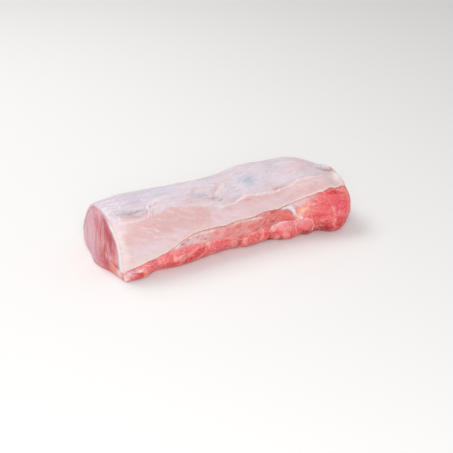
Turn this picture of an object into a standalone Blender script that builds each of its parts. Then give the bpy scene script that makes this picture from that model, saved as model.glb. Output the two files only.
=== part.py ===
"""Boneless pork loin: one lean muscle under a cap of fat, lying on its lean side.

Both solids are lofts of one rounded section along X, from the left cut to the right one. A place
on the loft has two coordinates: t runs from 0 at the left cut to 1 at the right cut, and g runs
round the section, from the front foot (0) up the front, over the crown (8), down the back and
under the loin to the front foot again (18). Sizes are in millimetres until the meshes are made.
"""

import bpy
import numpy as np

MM = 0.001

LENGTH = 316.0             # from cut to cut, along the front
GAP = 0.35                 # clearance between the lean and the fat
STATIONS = 44              # sections along the loin, without those that round the ends
FAT_STEPS = 26             # steps round the fat cap, from its front edge to its back edge
LEAN_STEPS = (8, 9, 20)    # steps round the bare lean: back, underside and front
CAP_RINGS = 4              # rings on each cut face of the lean

# Lines along the loin: distance from the left cut, then the value there.
HEIGHT = ((0, 75.5), (30, 81.6), (60, 81), (95, 78.3), (130, 77), (165, 77.8), (185, 81.3),
          (205, 82.5), (230, 82), (258, 82.5), (282, 75.8), (300, 67.5), (316, 64.5))
WIDTH = ((0, 101), (80, 104), (160, 107), (240, 106), (316, 95))
FRONT_PLACE = ((0, 0), (50, -1.5), (110, 1), (160, 4), (200, 8), (250, 7.5), (285, 4), (316, 1))
FOOT_TUCK = ((0, 3), (25, -1), (42, 5), (75, 3), (150, 9), (175, 4), (208, 3), (234, -6),
             (248, -1), (258, -4), (275, 1), (291, -6), (316, 1))
END_SWELL = ((0, 0), (200, 0), (245, 3), (275, 11), (300, 15), (316, 14))
FAT_FRONT = ((0, 10), (10, 15), (25, 18.5), (48, 23.5), (64, 29), (80, 36.5), (98, 41),
             (122, 40.5), (140, 39.5), (153, 41.5), (180, 41.5), (192, 43.5), (210, 43.5),
             (240, 50), (262, 56), (284, 59), (300, 56.5), (316, 55))
FAT_BACK = ((0, 22), (70, 27), (150, 20), (230, 29), (316, 24))
RIDGE = ((0, 67), (36, 69.5), (50, 72.5), (74, 72), (103, 68.5), (128, 61.5), (144, 62),
         (174, 67), (202, 65), (240, 70.5), (254, 72), (275, 70), (316, 62))

# The section: shares of the width from the front and of the height from the table.
SECTION = ((0.035, 0.0), (-0.03, 0.04), (-0.04, 0.15), (-0.012, 0.34), (0.018, 0.52),
           (0.065, 0.70), (0.175, 0.855), (0.345, 0.955), (0.52, 1.0), (0.675, 0.965),
           (0.82, 0.80), (0.935, 0.58), (1.015, 0.36), (1.06, 0.16), (0.99, 0.025),
           (0.84, 0.0), (0.57, 0.0), (0.30, 0.0))
TURN = len(SECTION)        # g after one whole turn
CROWN_G = 8.0
UNDER_G = 14.0             # the back foot, where the underside starts
EDGE_REACH = (1.2, 13.3)   # g between which the fat's two edges lie
EDGE_SAMPLES = 90
FRONT_G = (0.3, 1.1)       # the front's relief grows from nothing between these
BACK_G = (UNDER_G, 13.0)   # and the back's between these
SWELL_SHARE = 0.45         # share of the width that the end swell and foot tuck fade over
FOOT_TOP = 32.0            # height where the foot tuck ends
CENTRE = (0.47, 0.45)      # middle of the section, as shares of width and height
SMALL_STEP = 0.02          # step in g for the section's direction

# The fat cap: its thickness at shares of the way from its front edge to its back edge.
FAT_THICKNESS = ((0, 1.9), (0.08, 3.6), (0.25, 4.2), (0.5, 2.8), (0.8, 2.6), (1, 1.6))
LEFT_THICKNESS = ((0, 9.3), (0.1, 8.9), (0.22, 8.0), (0.36, 8.7), (0.41, 8.2), (0.46, 5.2),
                  (0.51, 3.0), (0.57, 2.1), (0.8, 2.0), (1, 1.6))    # the same at the left cut
THICK_RUN = 90.0           # how far from the left cut the fat is thicker
THICK_EDGE = (0.1, 30.0)   # share where the thin front edge ends, and how far its end is thicker
FAT_EDGE_CLEAR = 0.03      # in g, from the fat's edge to the lean's step beside it
MEMBRANE_RISE = 0.9        # the upper membrane over the smooth band below the ridge
MEMBRANE_FADE = 3.0
FAT_WAVE = 0.5             # height of the fat's slow waves, and their lengths along the loin
FAT_WAVE_LENGTHS = (19.0, 43.0)
FAT_WAVE_TURN = 1.3

# The cuts: the left one leans back and bulges at its foot, the right one is rounded.
FACE_Y = (-5.0, 101.0)     # y of the cuts' front and back edges
LEFT_SHIFT = 1.0
LEFT_LEAN = 13.0
LEFT_CURVE = 1.6
LEFT_FOOT_BULGE = 8.3
LEFT_FOOT_AT = (50, 22)    # y of the foot bulge's middle, and how far it spreads
LEFT_ROUND = (1.2, 1.0)    # how deep and how far in from the cut the rim is rounded
RIGHT_SHIFT = 2.0
RIGHT_LEAN = 9.0
RIGHT_CURVE = 1.4
RIGHT_TOP_REACH = 15.0
REACH_CURVE = 1.5          # how the foot bulge and the top reach grow with height
RIGHT_ROUND = (4.5, 10.0)
LEFT_DOME = 2.5
RIGHT_DOME = 6.0

# Lumps of the bare lean on the front: distance along, height, half length, half height, rise.
LUMPS = ((3, 4, 9, 5, 4.0), (15, 4.5, 7, 4, 1.8), (21, 12, 5, 4, 1.0), (27.5, 3.5, 5, 3, 1.6),
         (35, 14, 8, 7, 2.2), (54, 14, 10, 8, 2.6), (72, 14, 9, 7, 1.8), (97, 15, 13, 9, 2.2),
         (131, 15, 14, 9, 2.6), (153, 15, 9, 8, 2.4), (178, 11, 12, 8, 2.6),
         (198, 14, 8, 8, 2.6), (223, 15, 15, 11, 3.6), (254, 18, 12, 11, 3.0),
         (283, 15, 12, 9, 1.5), (222, 35, 20, 7, 2.2))
# Hollows, in the same terms: lifted places along the foot, and the dip under the fat's edge.
HOLLOWS = ((46, 4, 5, 4, 1.6), (63, 20, 3, 6, 1.2), (85, 17, 4, 7, 1.6), (112, 20, 4, 8, 1.8),
           (165, 18, 4, 7, 1.4), (189, 18, 4, 8, 1.6), (208, 5, 4, 5, 2.4), (228, 3, 5, 4, 1.6),
           (240, 18, 4, 9, 1.8), (243, 40, 7, 5, 1.4), (270, 18, 4, 9, 1.4), (281, 3, 6, 5, 2.0))
EDGE_DIP = 0.8
EDGE_DIP_FADE = 3.0
BACK_WAVE = 1.1            # height of the back's waves, and their lengths
BACK_WAVE_LENGTHS = (9.0, 23.0, 15.0, 6.0)

LEAN_COLOUR = (0.72, 0.21, 0.21)
FAT_COLOUR = (0.79, 0.62, 0.63)


def line(x, knots):
    """Value at x of a smooth line through the knots."""
    at = np.array([knot[0] for knot in knots], float)
    value = np.array([knot[1] for knot in knots], float)
    slope = np.gradient(value, at)
    x = np.clip(x, at[0], at[-1])
    i = np.clip(np.searchsorted(at, x, side="right") - 1, 0, len(at) - 2)
    span = at[i + 1] - at[i]
    u = (x - at[i]) / span
    rise = value[i] + (value[i + 1] - value[i]) * (3 * u**2 - 2 * u**3)
    return rise + span * u * (1 - u) * (slope[i] * (1 - u) - slope[i + 1] * u)


def blend(value, start, end):
    """0 at start, 1 at end, smooth between them."""
    u = np.clip((value - start) / (end - start), 0, 1)
    return u * u * (3 - 2 * u)


def shares(g):
    """Shares of width and height at g, on a smooth closed curve through SECTION."""
    knots = np.array(SECTION)
    i = np.floor(g).astype(int)
    u = (g - i)[..., None]
    before, start, end, after = (knots[(i + step) % TURN] for step in (-1, 0, 1, 2))
    curve = start + 0.5 * u * (end - before + u * (2 * before - 5 * start + 4 * end - after
                                                   + u * (3 * start - before - 3 * end + after)))
    return curve[..., 0], curve[..., 1]


def rounding(x):
    """How far the section is drawn in near the cuts."""
    left_depth, left_run = LEFT_ROUND
    right_depth, right_run = RIGHT_ROUND
    left = np.clip(1 - x / left_run, 0, 1)
    right = np.clip((x - LENGTH + right_run) / right_run, 0, 1)
    return left_depth * (1 - np.sqrt(1 - left**2)) + right_depth * (1 - np.sqrt(1 - right**2))


def section(t, g):
    """Point (y, z) of the bare section."""
    x = LENGTH * t
    width, height = line(x, WIDTH), line(x, HEIGHT)
    across, up = shares(g)
    front = np.clip(1 - across / SWELL_SHARE, 0, 1)
    z = np.maximum(up * height, 0)
    start = line(x, FRONT_PLACE)
    swell = line(x, END_SWELL) * np.sin(np.pi * np.clip(up, 0, 1))
    tuck = line(x, FOOT_TUCK) * blend(z, FOOT_TOP, 0)
    y = start + across * width + (tuck - swell) * front
    middle_y, middle_z = start + CENTRE[0] * width, CENTRE[1] * height
    keep = 1 - rounding(x) / middle_z
    return middle_y + (y - middle_y) * keep, middle_z + (z - middle_z) * keep


def outward(t, g):
    """Unit vector (y, z) that points out of the section."""
    y0, z0 = section(t, g - SMALL_STEP)
    y1, z1 = section(t, g + SMALL_STEP)
    size = np.hypot(y1 - y0, z1 - z0)
    return -(z1 - z0) / size, (y1 - y0) / size


def place(t, y, z):
    """Point in space of section point (y, z) at t, between the two leaning cuts."""
    across = np.clip((y - FACE_Y[0]) / (FACE_Y[1] - FACE_Y[0]), 0, 1)
    low = np.clip(1 - z / HEIGHT[0][1], 0, 1)
    high = np.clip(z / HEIGHT[-1][1], 0, 1)
    middle, spread = LEFT_FOOT_AT
    foot = LEFT_FOOT_BULGE * np.exp(-((y - middle) / spread)**2) * low**REACH_CURVE
    left = LEFT_SHIFT - LEFT_LEAN * (1 - (1 - across)**LEFT_CURVE) - foot
    right = LENGTH + RIGHT_SHIFT + RIGHT_TOP_REACH * high**REACH_CURVE
    right = right - RIGHT_LEAN * across**RIGHT_CURVE
    return np.stack([left + (right - left) * t, y, z], axis=-1)


def raised(t, g, rise):
    """Point in space over (t, g), raised from the bare section; never under the table."""
    y, z = section(t, g)
    out_y, out_z = outward(t, g)
    return place(t, y + out_y * rise, np.maximum(z + out_z * rise, 0))


def edge_g(t):
    """g of the fat's front and back edges at t."""
    x = LENGTH * t
    front = np.linspace(EDGE_REACH[0], CROWN_G, EDGE_SAMPLES)
    back = np.linspace(CROWN_G, EDGE_REACH[1], EDGE_SAMPLES)
    height = line(x, HEIGHT)
    front_g = np.interp(line(x, FAT_FRONT) / height, shares(front)[1], front)
    back_g = np.interp(-line(x, FAT_BACK) / height, -shares(back)[1], back)
    return front_g, back_g


def fat_thickness(t, share):
    """Thickness of the fat at a share of the way from its front edge to its back edge."""
    x = LENGTH * t
    edge_share, edge_run = THICK_EDGE
    edge = blend(share, edge_share, 0)
    thick = blend(x, THICK_RUN, 0) * (1 - edge) + blend(x, edge_run, 0) * edge
    return line(share, FAT_THICKNESS) * (1 - thick) + line(share, LEFT_THICKNESS) * thick


def fat_relief(t, g):
    """The membrane's step above the ridge, and slow waves."""
    x = LENGTH * t
    z = section(t, g)[1]
    above = blend(z - line(x, RIDGE), -MEMBRANE_FADE, MEMBRANE_FADE)
    membrane = MEMBRANE_RISE * np.where(g > CROWN_G, 1, above)
    short, long = FAT_WAVE_LENGTHS
    return membrane + FAT_WAVE * np.sin(x / short + g) * np.sin(FAT_WAVE_TURN * g + x / long)


def lean_relief(t, g):
    """Lumps and hollows of the bare lean on the front, and waves on the back."""
    x = LENGTH * t
    g = g % TURN
    z = section(t, g)[1]
    bumps = np.zeros(np.broadcast(x, g).shape)
    for sign, shapes in ((1, LUMPS), (-1, HOLLOWS)):
        for along, up, half_length, half_height, rise in shapes:
            spread = ((x - along) / half_length)**2 + ((z - up) / half_height)**2
            bumps += sign * rise * np.exp(-spread)
    bumps -= EDGE_DIP * np.exp(-((line(x, FAT_FRONT) - z) / EDGE_DIP_FADE)**2)
    a, b, c, d = BACK_WAVE_LENGTHS
    waves = BACK_WAVE * (np.sin(x / a + np.sin(x / b)) + np.sin(x / c - z / d) - 1)
    front = blend(g, *FRONT_G) * bumps
    back = blend(g, *BACK_G) * waves
    return np.where(g < CROWN_G, front, np.where(g < UNDER_G, back, 0))


def stations():
    """Values of t, closer together where the cuts are rounded."""
    near_left = LEFT_ROUND[1] * (1 - np.cos(np.linspace(0, np.pi / 2, 3)))
    far = RIGHT_ROUND[1] * np.sin(np.linspace(0, np.pi / 2, 6))
    near_right = LENGTH - RIGHT_ROUND[1] + far
    between = np.linspace(near_left[-1], near_right[0], STATIONS)
    return np.concatenate([near_left[:-1], between, near_right[1:]]) / LENGTH


def fat_rings():
    """One closed ring a station: out along the fat's outside, back along its inside."""
    rings = []
    share = np.linspace(0, 1, FAT_STEPS + 1)
    for t in stations():
        front_g, back_g = edge_g(t)
        g = front_g + (back_g - front_g) * share
        outside = raised(t, g, fat_relief(t, g))
        inside = raised(t, g, -fat_thickness(t, share))
        rings.append(np.concatenate([outside, inside[::-1]]))
    return np.array(rings)


def lean_rings():
    """One closed ring a station: under the fat, then round the bare back, foot and front."""
    rings = []
    share = np.linspace(0, 1, FAT_STEPS + 1)
    back_steps, under_steps, front_steps = LEAN_STEPS
    for t in stations():
        front_g, back_g = edge_g(t)
        covered = front_g + (back_g - front_g) * share
        covered[0] -= FAT_EDGE_CLEAR
        covered[-1] += FAT_EDGE_CLEAR
        under_fat = raised(t, covered, -fat_thickness(t, share) - GAP)
        bare = np.concatenate([np.linspace(covered[-1], UNDER_G, back_steps, endpoint=False),
                               np.linspace(UNDER_G, TURN, under_steps, endpoint=False),
                               np.linspace(TURN, TURN + covered[0], front_steps + 1)])
        rings.append(np.concatenate([under_fat, raised(t, bare, lean_relief(t, bare))]))
    return np.array(rings)


def cut_face(ring, dome, side):
    """Rings that close a cut face, from its rim inwards, and its middle point."""
    middle = ring.mean(axis=0)
    rings = []
    for step in range(1, CAP_RINGS + 1):
        keep = 1 - step / (CAP_RINGS + 1)
        shrunk = middle + (ring - middle) * keep
        shrunk = place(0.0 if side < 0 else 1.0, shrunk[:, 1], shrunk[:, 2])
        shrunk[:, 0] += side * dome * (1 - keep**2)
        rings.append(shrunk)
    tip = place(0.0 if side < 0 else 1.0, middle[1], middle[2])
    tip[0] += side * dome
    return rings, tip


def ring_faces(first, second, size, flipped=0):
    """Triangles between two closed rings; the last flipped quads use the other diagonal."""
    faces = []
    for j in range(size):
        k = (j + 1) % size
        a, b, c, d = first + j, second + j, second + k, first + k
        if j < size - flipped:
            faces += [(a, b, c), (a, c, d)]
        else:
            faces += [(a, b, d), (b, c, d)]
    return faces


def make_object(name, points, faces, colour, roughness):
    """Mesh object in metres with its own material."""
    mesh = bpy.data.meshes.new(name)
    mesh.from_pydata([tuple(point) for point in points * MM], [], faces)
    mesh.shade_smooth()
    material = bpy.data.materials.new(name)
    material.use_nodes = True
    shader = material.node_tree.nodes["Principled BSDF"]
    shader.inputs["Base Color"].default_value = (*colour, 1)
    shader.inputs["Roughness"].default_value = roughness
    shader.inputs["Metallic"].default_value = 0
    mesh.materials.append(material)
    item = bpy.data.objects.new(name, mesh)
    bpy.context.scene.collection.objects.link(item)
    return item


def make_fat():
    """Points and faces of the fat cap: a skin closed at its edges and at both cuts."""
    rings = fat_rings()
    count, size = rings.shape[:2]
    arc = FAT_STEPS + 1
    faces = []
    for i in range(count - 1):
        faces += ring_faces(i * size, (i + 1) * size, size, flipped=arc)
    last = (count - 1) * size
    for j in range(FAT_STEPS):
        outer, inner = (j, j + 1), (size - 1 - j, size - 2 - j)
        faces += [(outer[0], outer[1], inner[1]), (outer[0], inner[1], inner[0])]
        faces += [(last + outer[1], last + outer[0], last + inner[0]),
                  (last + outer[1], last + inner[0], last + inner[1])]
    return rings.reshape(-1, 3), faces


def make_lean():
    """Points and faces of the lean: its loft and the two domed cut faces."""
    rings = list(lean_rings())
    left, left_tip = cut_face(rings[0], LEFT_DOME, -1)
    right, right_tip = cut_face(rings[-1], RIGHT_DOME, 1)
    rings = left[::-1] + rings + right
    count, size = len(rings), len(rings[0])
    faces = []
    for i in range(count - 1):
        faces += ring_faces(i * size, (i + 1) * size, size)
    first_tip, last = count * size, (count - 1) * size
    for j in range(size):
        k = (j + 1) % size
        faces += [(first_tip, j, k), (first_tip + 1, last + k, last + j)]
    points = np.concatenate(rings + [left_tip[None], right_tip[None]])
    return points, faces


def main():
    for item in list(bpy.data.objects):
        bpy.data.objects.remove(item)
    fat_points, fat_faces = make_fat()
    lean_points, lean_faces = make_lean()
    everything = np.concatenate([fat_points, lean_points])
    low, high = everything.min(axis=0), everything.max(axis=0)
    origin = np.array([(low[0] + high[0]) / 2, (low[1] + high[1]) / 2, low[2]])
    make_object("lean_loin", lean_points - origin, lean_faces, LEAN_COLOUR, 0.35)
    make_object("fat_cap", fat_points - origin, fat_faces, FAT_COLOUR, 0.4)


main()
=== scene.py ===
"""Looks of a boneless raw pork loin: moist lean meat under a cap of fat, on a pale floor.

Both pieces repeat the part's loft on a fine grid and add the finer relief and the colours. A place
on the loft is (t, g) as in the part: t from the left cut to the right one, g round the section.
Features are placed by x, the distance along the loin from the left cut, and by s, the distance
over its surface from the front foot upwards. Both are in millimetres.
"""

import bpy
import numpy as np
from mathutils import Matrix


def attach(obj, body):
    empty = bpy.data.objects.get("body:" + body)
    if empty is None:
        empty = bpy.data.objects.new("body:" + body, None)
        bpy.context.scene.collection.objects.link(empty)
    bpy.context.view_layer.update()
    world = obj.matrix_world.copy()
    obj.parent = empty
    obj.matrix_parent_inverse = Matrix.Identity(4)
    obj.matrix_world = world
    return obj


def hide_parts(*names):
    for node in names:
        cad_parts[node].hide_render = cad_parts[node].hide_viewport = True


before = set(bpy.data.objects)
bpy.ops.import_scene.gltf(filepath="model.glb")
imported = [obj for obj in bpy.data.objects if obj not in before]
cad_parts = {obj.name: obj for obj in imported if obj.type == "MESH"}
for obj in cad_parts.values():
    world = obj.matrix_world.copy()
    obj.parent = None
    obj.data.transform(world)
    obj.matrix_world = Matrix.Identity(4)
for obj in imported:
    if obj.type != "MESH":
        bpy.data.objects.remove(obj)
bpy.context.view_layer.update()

MM = 0.001

# ---------------- the part's own form

# As in the part, in millimetres. Tables of pairs hold x and the value there. SECTION holds shares
# of width and height, and the tables of thickness start with the share of the way over the fat.
# LUMPS and HOLLOWS hold x, height, half length, half height, and the rise or the depth.
LENGTH = 316.0
GAP = 0.35
HEIGHT = ((0, 75.5), (30, 81.6), (60, 81), (95, 78.3), (130, 77), (165, 77.8), (185, 81.3),
          (205, 82.5), (230, 82), (258, 82.5), (282, 75.8), (300, 67.5), (316, 64.5))
WIDTH = ((0, 101), (80, 104), (160, 107), (240, 106), (316, 95))
FRONT_PLACE = ((0, 0), (50, -1.5), (110, 1), (160, 4), (200, 8), (250, 7.5), (285, 4), (316, 1))
FOOT_TUCK = ((0, 3), (25, -1), (42, 5), (75, 3), (150, 9), (175, 4), (208, 3), (234, -6),
             (248, -1), (258, -4), (275, 1), (291, -6), (316, 1))
END_SWELL = ((0, 0), (200, 0), (245, 3), (275, 11), (300, 15), (316, 14))
FAT_FRONT = ((0, 10), (10, 15), (25, 18.5), (48, 23.5), (64, 29), (80, 36.5), (98, 41),
             (122, 40.5), (140, 39.5), (153, 41.5), (180, 41.5), (192, 43.5), (210, 43.5),
             (240, 50), (262, 56), (284, 59), (300, 56.5), (316, 55))
FAT_BACK = ((0, 22), (70, 27), (150, 20), (230, 29), (316, 24))
RIDGE = ((0, 67), (36, 69.5), (50, 72.5), (74, 72), (103, 68.5), (128, 61.5), (144, 62),
         (174, 67), (202, 65), (240, 70.5), (254, 72), (275, 70), (316, 62))
SECTION = ((0.035, 0.0), (-0.03, 0.04), (-0.04, 0.15), (-0.012, 0.34), (0.018, 0.52),
           (0.065, 0.70), (0.175, 0.855), (0.345, 0.955), (0.52, 1.0), (0.675, 0.965),
           (0.82, 0.80), (0.935, 0.58), (1.015, 0.36), (1.06, 0.16), (0.99, 0.025),
           (0.84, 0.0), (0.57, 0.0), (0.30, 0.0))
TURN = len(SECTION)
CROWN_G = 8.0
UNDER_G = 14.0
EDGE_REACH = (1.2, 13.3)
EDGE_SAMPLES = 90
FRONT_G = (0.3, 1.1)
BACK_G = (UNDER_G, 13.0)
SWELL_SHARE = 0.45
FOOT_TOP = 32.0
CENTRE = (0.47, 0.45)
SMALL_STEP = 0.02
FAT_THICKNESS = ((0, 1.9), (0.08, 3.6), (0.25, 4.2), (0.5, 2.8), (0.8, 2.6), (1, 1.6))
LEFT_THICKNESS = ((0, 9.3), (0.1, 8.9), (0.22, 8.0), (0.36, 8.7), (0.41, 8.2), (0.46, 5.2),
                  (0.51, 3.0), (0.57, 2.1), (0.8, 2.0), (1, 1.6))
THICK_RUN = 90.0
THICK_EDGE = (0.1, 30.0)
MEMBRANE_RISE = 0.9
FAT_WAVE = 0.5
FAT_WAVE_LENGTHS = (19.0, 43.0)
FAT_WAVE_TURN = 1.3
FACE_Y = (-5.0, 101.0)
LEFT_SHIFT = 1.0
LEFT_LEAN = 13.0
LEFT_CURVE = 1.6
LEFT_FOOT_BULGE = 8.3
LEFT_FOOT_AT = (50, 22)
LEFT_ROUND = (1.2, 1.0)
RIGHT_SHIFT = 2.0
RIGHT_LEAN = 9.0
RIGHT_CURVE = 1.4
RIGHT_TOP_REACH = 15.0
REACH_CURVE = 1.5
RIGHT_ROUND = (4.5, 10.0)
LEFT_DOME = 2.5
RIGHT_DOME = 6.0
LUMPS = ((3, 4, 9, 5, 4.0), (15, 4.5, 7, 4, 1.8), (21, 12, 5, 4, 1.0), (27.5, 3.5, 5, 3, 1.6),
         (35, 14, 8, 7, 2.2), (54, 14, 10, 8, 2.6), (72, 14, 9, 7, 1.8), (97, 15, 13, 9, 2.2),
         (131, 15, 14, 9, 2.6), (153, 15, 9, 8, 2.4), (178, 11, 12, 8, 2.6),
         (198, 14, 8, 8, 2.6), (223, 15, 15, 11, 3.6), (254, 18, 12, 11, 3.0),
         (283, 15, 12, 9, 1.5), (222, 35, 20, 7, 2.2))
HOLLOWS = ((46, 4, 5, 4, 1.6), (63, 20, 3, 6, 1.2), (85, 17, 4, 7, 1.6), (112, 20, 4, 8, 1.8),
           (165, 18, 4, 7, 1.4), (189, 18, 4, 8, 1.6), (208, 5, 4, 5, 2.4), (228, 3, 5, 4, 1.6),
           (240, 18, 4, 9, 1.8), (243, 40, 7, 5, 1.4), (270, 18, 4, 9, 1.4), (281, 3, 6, 5, 2.0))
EDGE_DIP = 0.6      # shallower than the part's, under this finer relief
EDGE_DIP_FADE = 3.0
BACK_WAVE = 1.1
BACK_WAVE_LENGTHS = (9.0, 23.0, 15.0, 6.0)

# ---------------- grids

LEAN_STATIONS = 400        # sections along each piece, without those that round the ends
FAT_STATIONS = 350
END_STATIONS = (4, 16)     # sections that round the left and the right end
FAT_STEPS = 210            # steps over the fat between its rounded edges
FAT_EDGE_STEPS = 5
FAT_INSIDE_STEPS = 30
LEAN_STEPS = (100, 26, 16, 110)   # steps round the lean: under the fat, back, underside, front
UNDER_SKIP = 4             # away from the cuts, one of so many points is kept under the fat
CAP_RINGS = 46
RIM_STEPS = 8
ARC_SAMPLES = 900
FOOT_G = 0.08              # g of the front foot, where s starts
FAT_EDGE_ROUND = 2.0       # radius of the fat's long edges
EDGE_DEPTH = 0.85          # how deep the rounding goes, as a share of the radius
RAGGED = 0.8               # how far the fat's long edges wander, and over what length
RAGGED_LENGTH = 7.0
RIM_WHITE_TO = 28.0        # y where the fat's white rim at the left cut turns into meat
SOFT_REACH = 0.0018        # how far light spreads under the surface, in metres


def line(x, knots):
    """Value at x of a smooth line through the knots."""
    at = np.array([knot[0] for knot in knots], float)
    value = np.array([knot[1] for knot in knots], float)
    slope = np.gradient(value, at)
    x = np.clip(x, at[0], at[-1])
    i = np.clip(np.searchsorted(at, x, side="right") - 1, 0, len(at) - 2)
    span = at[i + 1] - at[i]
    u = (x - at[i]) / span
    rise = value[i] + (value[i + 1] - value[i]) * (3 * u**2 - 2 * u**3)
    return rise + span * u * (1 - u) * (slope[i] * (1 - u) - slope[i + 1] * u)


def blend(value, start, end):
    """0 at start, 1 at end, smooth between them."""
    u = np.clip((value - start) / (end - start), 0, 1)
    return u * u * (3 - 2 * u)


def shares(g):
    """Shares of width and height at g, on a smooth closed curve through SECTION."""
    knots = np.array(SECTION)
    i = np.floor(g).astype(int)
    u = (g - i)[..., None]
    before, start, end, after = (knots[(i + step) % TURN] for step in (-1, 0, 1, 2))
    curve = start + 0.5 * u * (end - before + u * (2 * before - 5 * start + 4 * end - after
                                                   + u * (3 * start - before - 3 * end + after)))
    return curve[..., 0], curve[..., 1]


def rounding(x):
    """How far the section is drawn in near the cuts."""
    left_depth, left_run = LEFT_ROUND
    right_depth, right_run = RIGHT_ROUND
    left = np.clip(1 - x / left_run, 0, 1)
    right = np.clip((x - LENGTH + right_run) / right_run, 0, 1)
    return left_depth * (1 - np.sqrt(1 - left**2)) + right_depth * (1 - np.sqrt(1 - right**2))


def section(t, g):
    """Point (y, z) of the bare section."""
    x = LENGTH * t
    width, height = line(x, WIDTH), line(x, HEIGHT)
    across, up = shares(g)
    front = np.clip(1 - across / SWELL_SHARE, 0, 1)
    z = np.maximum(up * height, 0)
    start = line(x, FRONT_PLACE)
    swell = line(x, END_SWELL) * np.sin(np.pi * np.clip(up, 0, 1))
    tuck = line(x, FOOT_TUCK) * blend(z, FOOT_TOP, 0)
    y = start + across * width + (tuck - swell) * front
    middle_y, middle_z = start + CENTRE[0] * width, CENTRE[1] * height
    keep = 1 - rounding(x) / middle_z
    return middle_y + (y - middle_y) * keep, middle_z + (z - middle_z) * keep


def outward(t, g):
    """Unit vector (y, z) that points out of the section."""
    y0, z0 = section(t, g - SMALL_STEP)
    y1, z1 = section(t, g + SMALL_STEP)
    size = np.hypot(y1 - y0, z1 - z0)
    return -(z1 - z0) / size, (y1 - y0) / size


def place(t, y, z):
    """Point in space of section point (y, z) at t, between the two leaning cuts."""
    across = np.clip((y - FACE_Y[0]) / (FACE_Y[1] - FACE_Y[0]), 0, 1)
    low = np.clip(1 - z / HEIGHT[0][1], 0, 1)
    high = np.clip(z / HEIGHT[-1][1], 0, 1)
    middle, spread = LEFT_FOOT_AT
    foot = LEFT_FOOT_BULGE * np.exp(-((y - middle) / spread)**2) * low**REACH_CURVE
    left = LEFT_SHIFT - LEFT_LEAN * (1 - (1 - across)**LEFT_CURVE) - foot
    right = LENGTH + RIGHT_SHIFT + RIGHT_TOP_REACH * high**REACH_CURVE
    right = right - RIGHT_LEAN * across**RIGHT_CURVE
    return np.stack([left + (right - left) * t, y, z], axis=-1)


def raised(t, g, rise):
    """Point in space over (t, g), raised from the bare section; never under the table."""
    y, z = section(t, g)
    out_y, out_z = outward(t, g)
    return place(t, y + out_y * rise, np.maximum(z + out_z * rise, 0))


def fat_thickness(t, share):
    """Thickness of the fat at a share of the way from its front edge to its back edge."""
    x = LENGTH * t
    edge_share, edge_run = THICK_EDGE
    edge = blend(share, edge_share, 0)
    thick = blend(x, THICK_RUN, 0) * (1 - edge) + blend(x, edge_run, 0) * edge
    return line(share, FAT_THICKNESS) * (1 - thick) + line(share, LEFT_THICKNESS) * thick


# ---------------- noise and marks

FINER = 2.03               # each layer of noise is so many times finer than the one before it
FAINTER = 0.5              # and so many times as strong
LAYERED = 1.4              # brings layered noise back to about -1 to 1
CELL_WANDER = 0.42         # how far the cells' middles are scattered
PATCH_FADE = 0.7           # makes a patch about half as strong at its half size
PATCH_POWER = 1.5          # how flat its middle is, and how quickly it fades beyond


def lattice(cell, seed):
    """Repeatable value from -1 to 1 for each whole-numbered cell."""
    # The large numbers only scramble the bits.
    h = np.full(cell.shape[:-1], seed * 1013904223 + 12345, np.int64)
    for axis, prime in enumerate((73856093, 19349663, 83492791)[:cell.shape[-1]]):
        h = h ^ (cell[..., axis].astype(np.int64) * prime)
    h = ((h ^ (h >> 13)) & 0xFFFFFFFF) * 1274126177 & 0xFFFFFFFF
    h = (h ^ (h >> 16)) * 2246822519 & 0xFFFFFFFF
    return ((h ^ (h >> 15)) & 0xFFFFF) / 0x7FFFF - 1


def noise(*coordinates, seed=0):
    """Smooth noise from -1 to 1, one bump to a unit."""
    at = np.stack(np.broadcast_arrays(*coordinates), axis=-1)
    cell = np.floor(at)
    u = at - cell
    u = u * u * u * (u * (6 * u - 15) + 10)
    total = 0
    for corner in range(2**at.shape[-1]):
        step = np.array([corner >> axis & 1 for axis in range(at.shape[-1])])
        total = total + np.prod(np.where(step, u, 1 - u), axis=-1) * lattice(cell + step, seed)
    return total


def layers(*coordinates, seed=0, count=3):
    """Noise with finer and fainter noise added to it."""
    total, size = 0, 1.0
    for i in range(count):
        total = total + size * noise(*(c * FINER**i for c in coordinates), seed=seed + 17 * i)
        size *= FAINTER
    return total / LAYERED if count > 1 else total


def slanted(x, s, degrees, long, wide):
    """Coordinates along and across a direction, in lengths and widths of what lies there."""
    c, d = np.cos(np.radians(degrees)), np.sin(np.radians(degrees))
    return (x * c + s * d) / long, (s * c - x * d) / wide


# A grain is a row of height, length, width, degrees, seed and, where it isn't 3, the count of
# layers. A coloured grain has no height: after its shape come the colour on its heights and the
# one in its hollows, each a name, a share, and the heights where it starts and is full. Tables
# named WANDER hold the grains that move places along the loin, and those that move them up.

def grain(x, s, long, wide, degrees, seed, count=3):
    """Noise whose bumps have a length, a width and a direction."""
    return layers(*slanted(x, s, degrees, long, wide), seed=seed, count=count)


def rough(x, s, grains):
    """Height of the grains together."""
    return sum(height * grain(x, s, *shape) for height, *shape in grains)


def wander(x, s, along, up):
    """Place moved along the loin and over its surface by the heights of grains."""
    return x + rough(x, s, along), s + rough(x, s, up)


def cells(x, s, seed=0):
    """How far the nearer of two scattered middles is from being as far as the other one."""
    base_x, base_s = np.floor(x), np.floor(s)
    first = second = np.inf
    for i in (-1, 0, 1):
        for j in (-1, 0, 1):
            cell = np.stack([base_x + i, base_s + j], axis=-1)
            middle_x = base_x + i + 0.5 + CELL_WANDER * lattice(cell, seed)
            middle_s = base_s + j + 0.5 + CELL_WANDER * lattice(cell, seed + 5)
            far = np.hypot(middle_x - x, middle_s - s)
            second = np.minimum(second, np.maximum(first, far))
            first = np.minimum(first, far)
    return second - first


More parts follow.
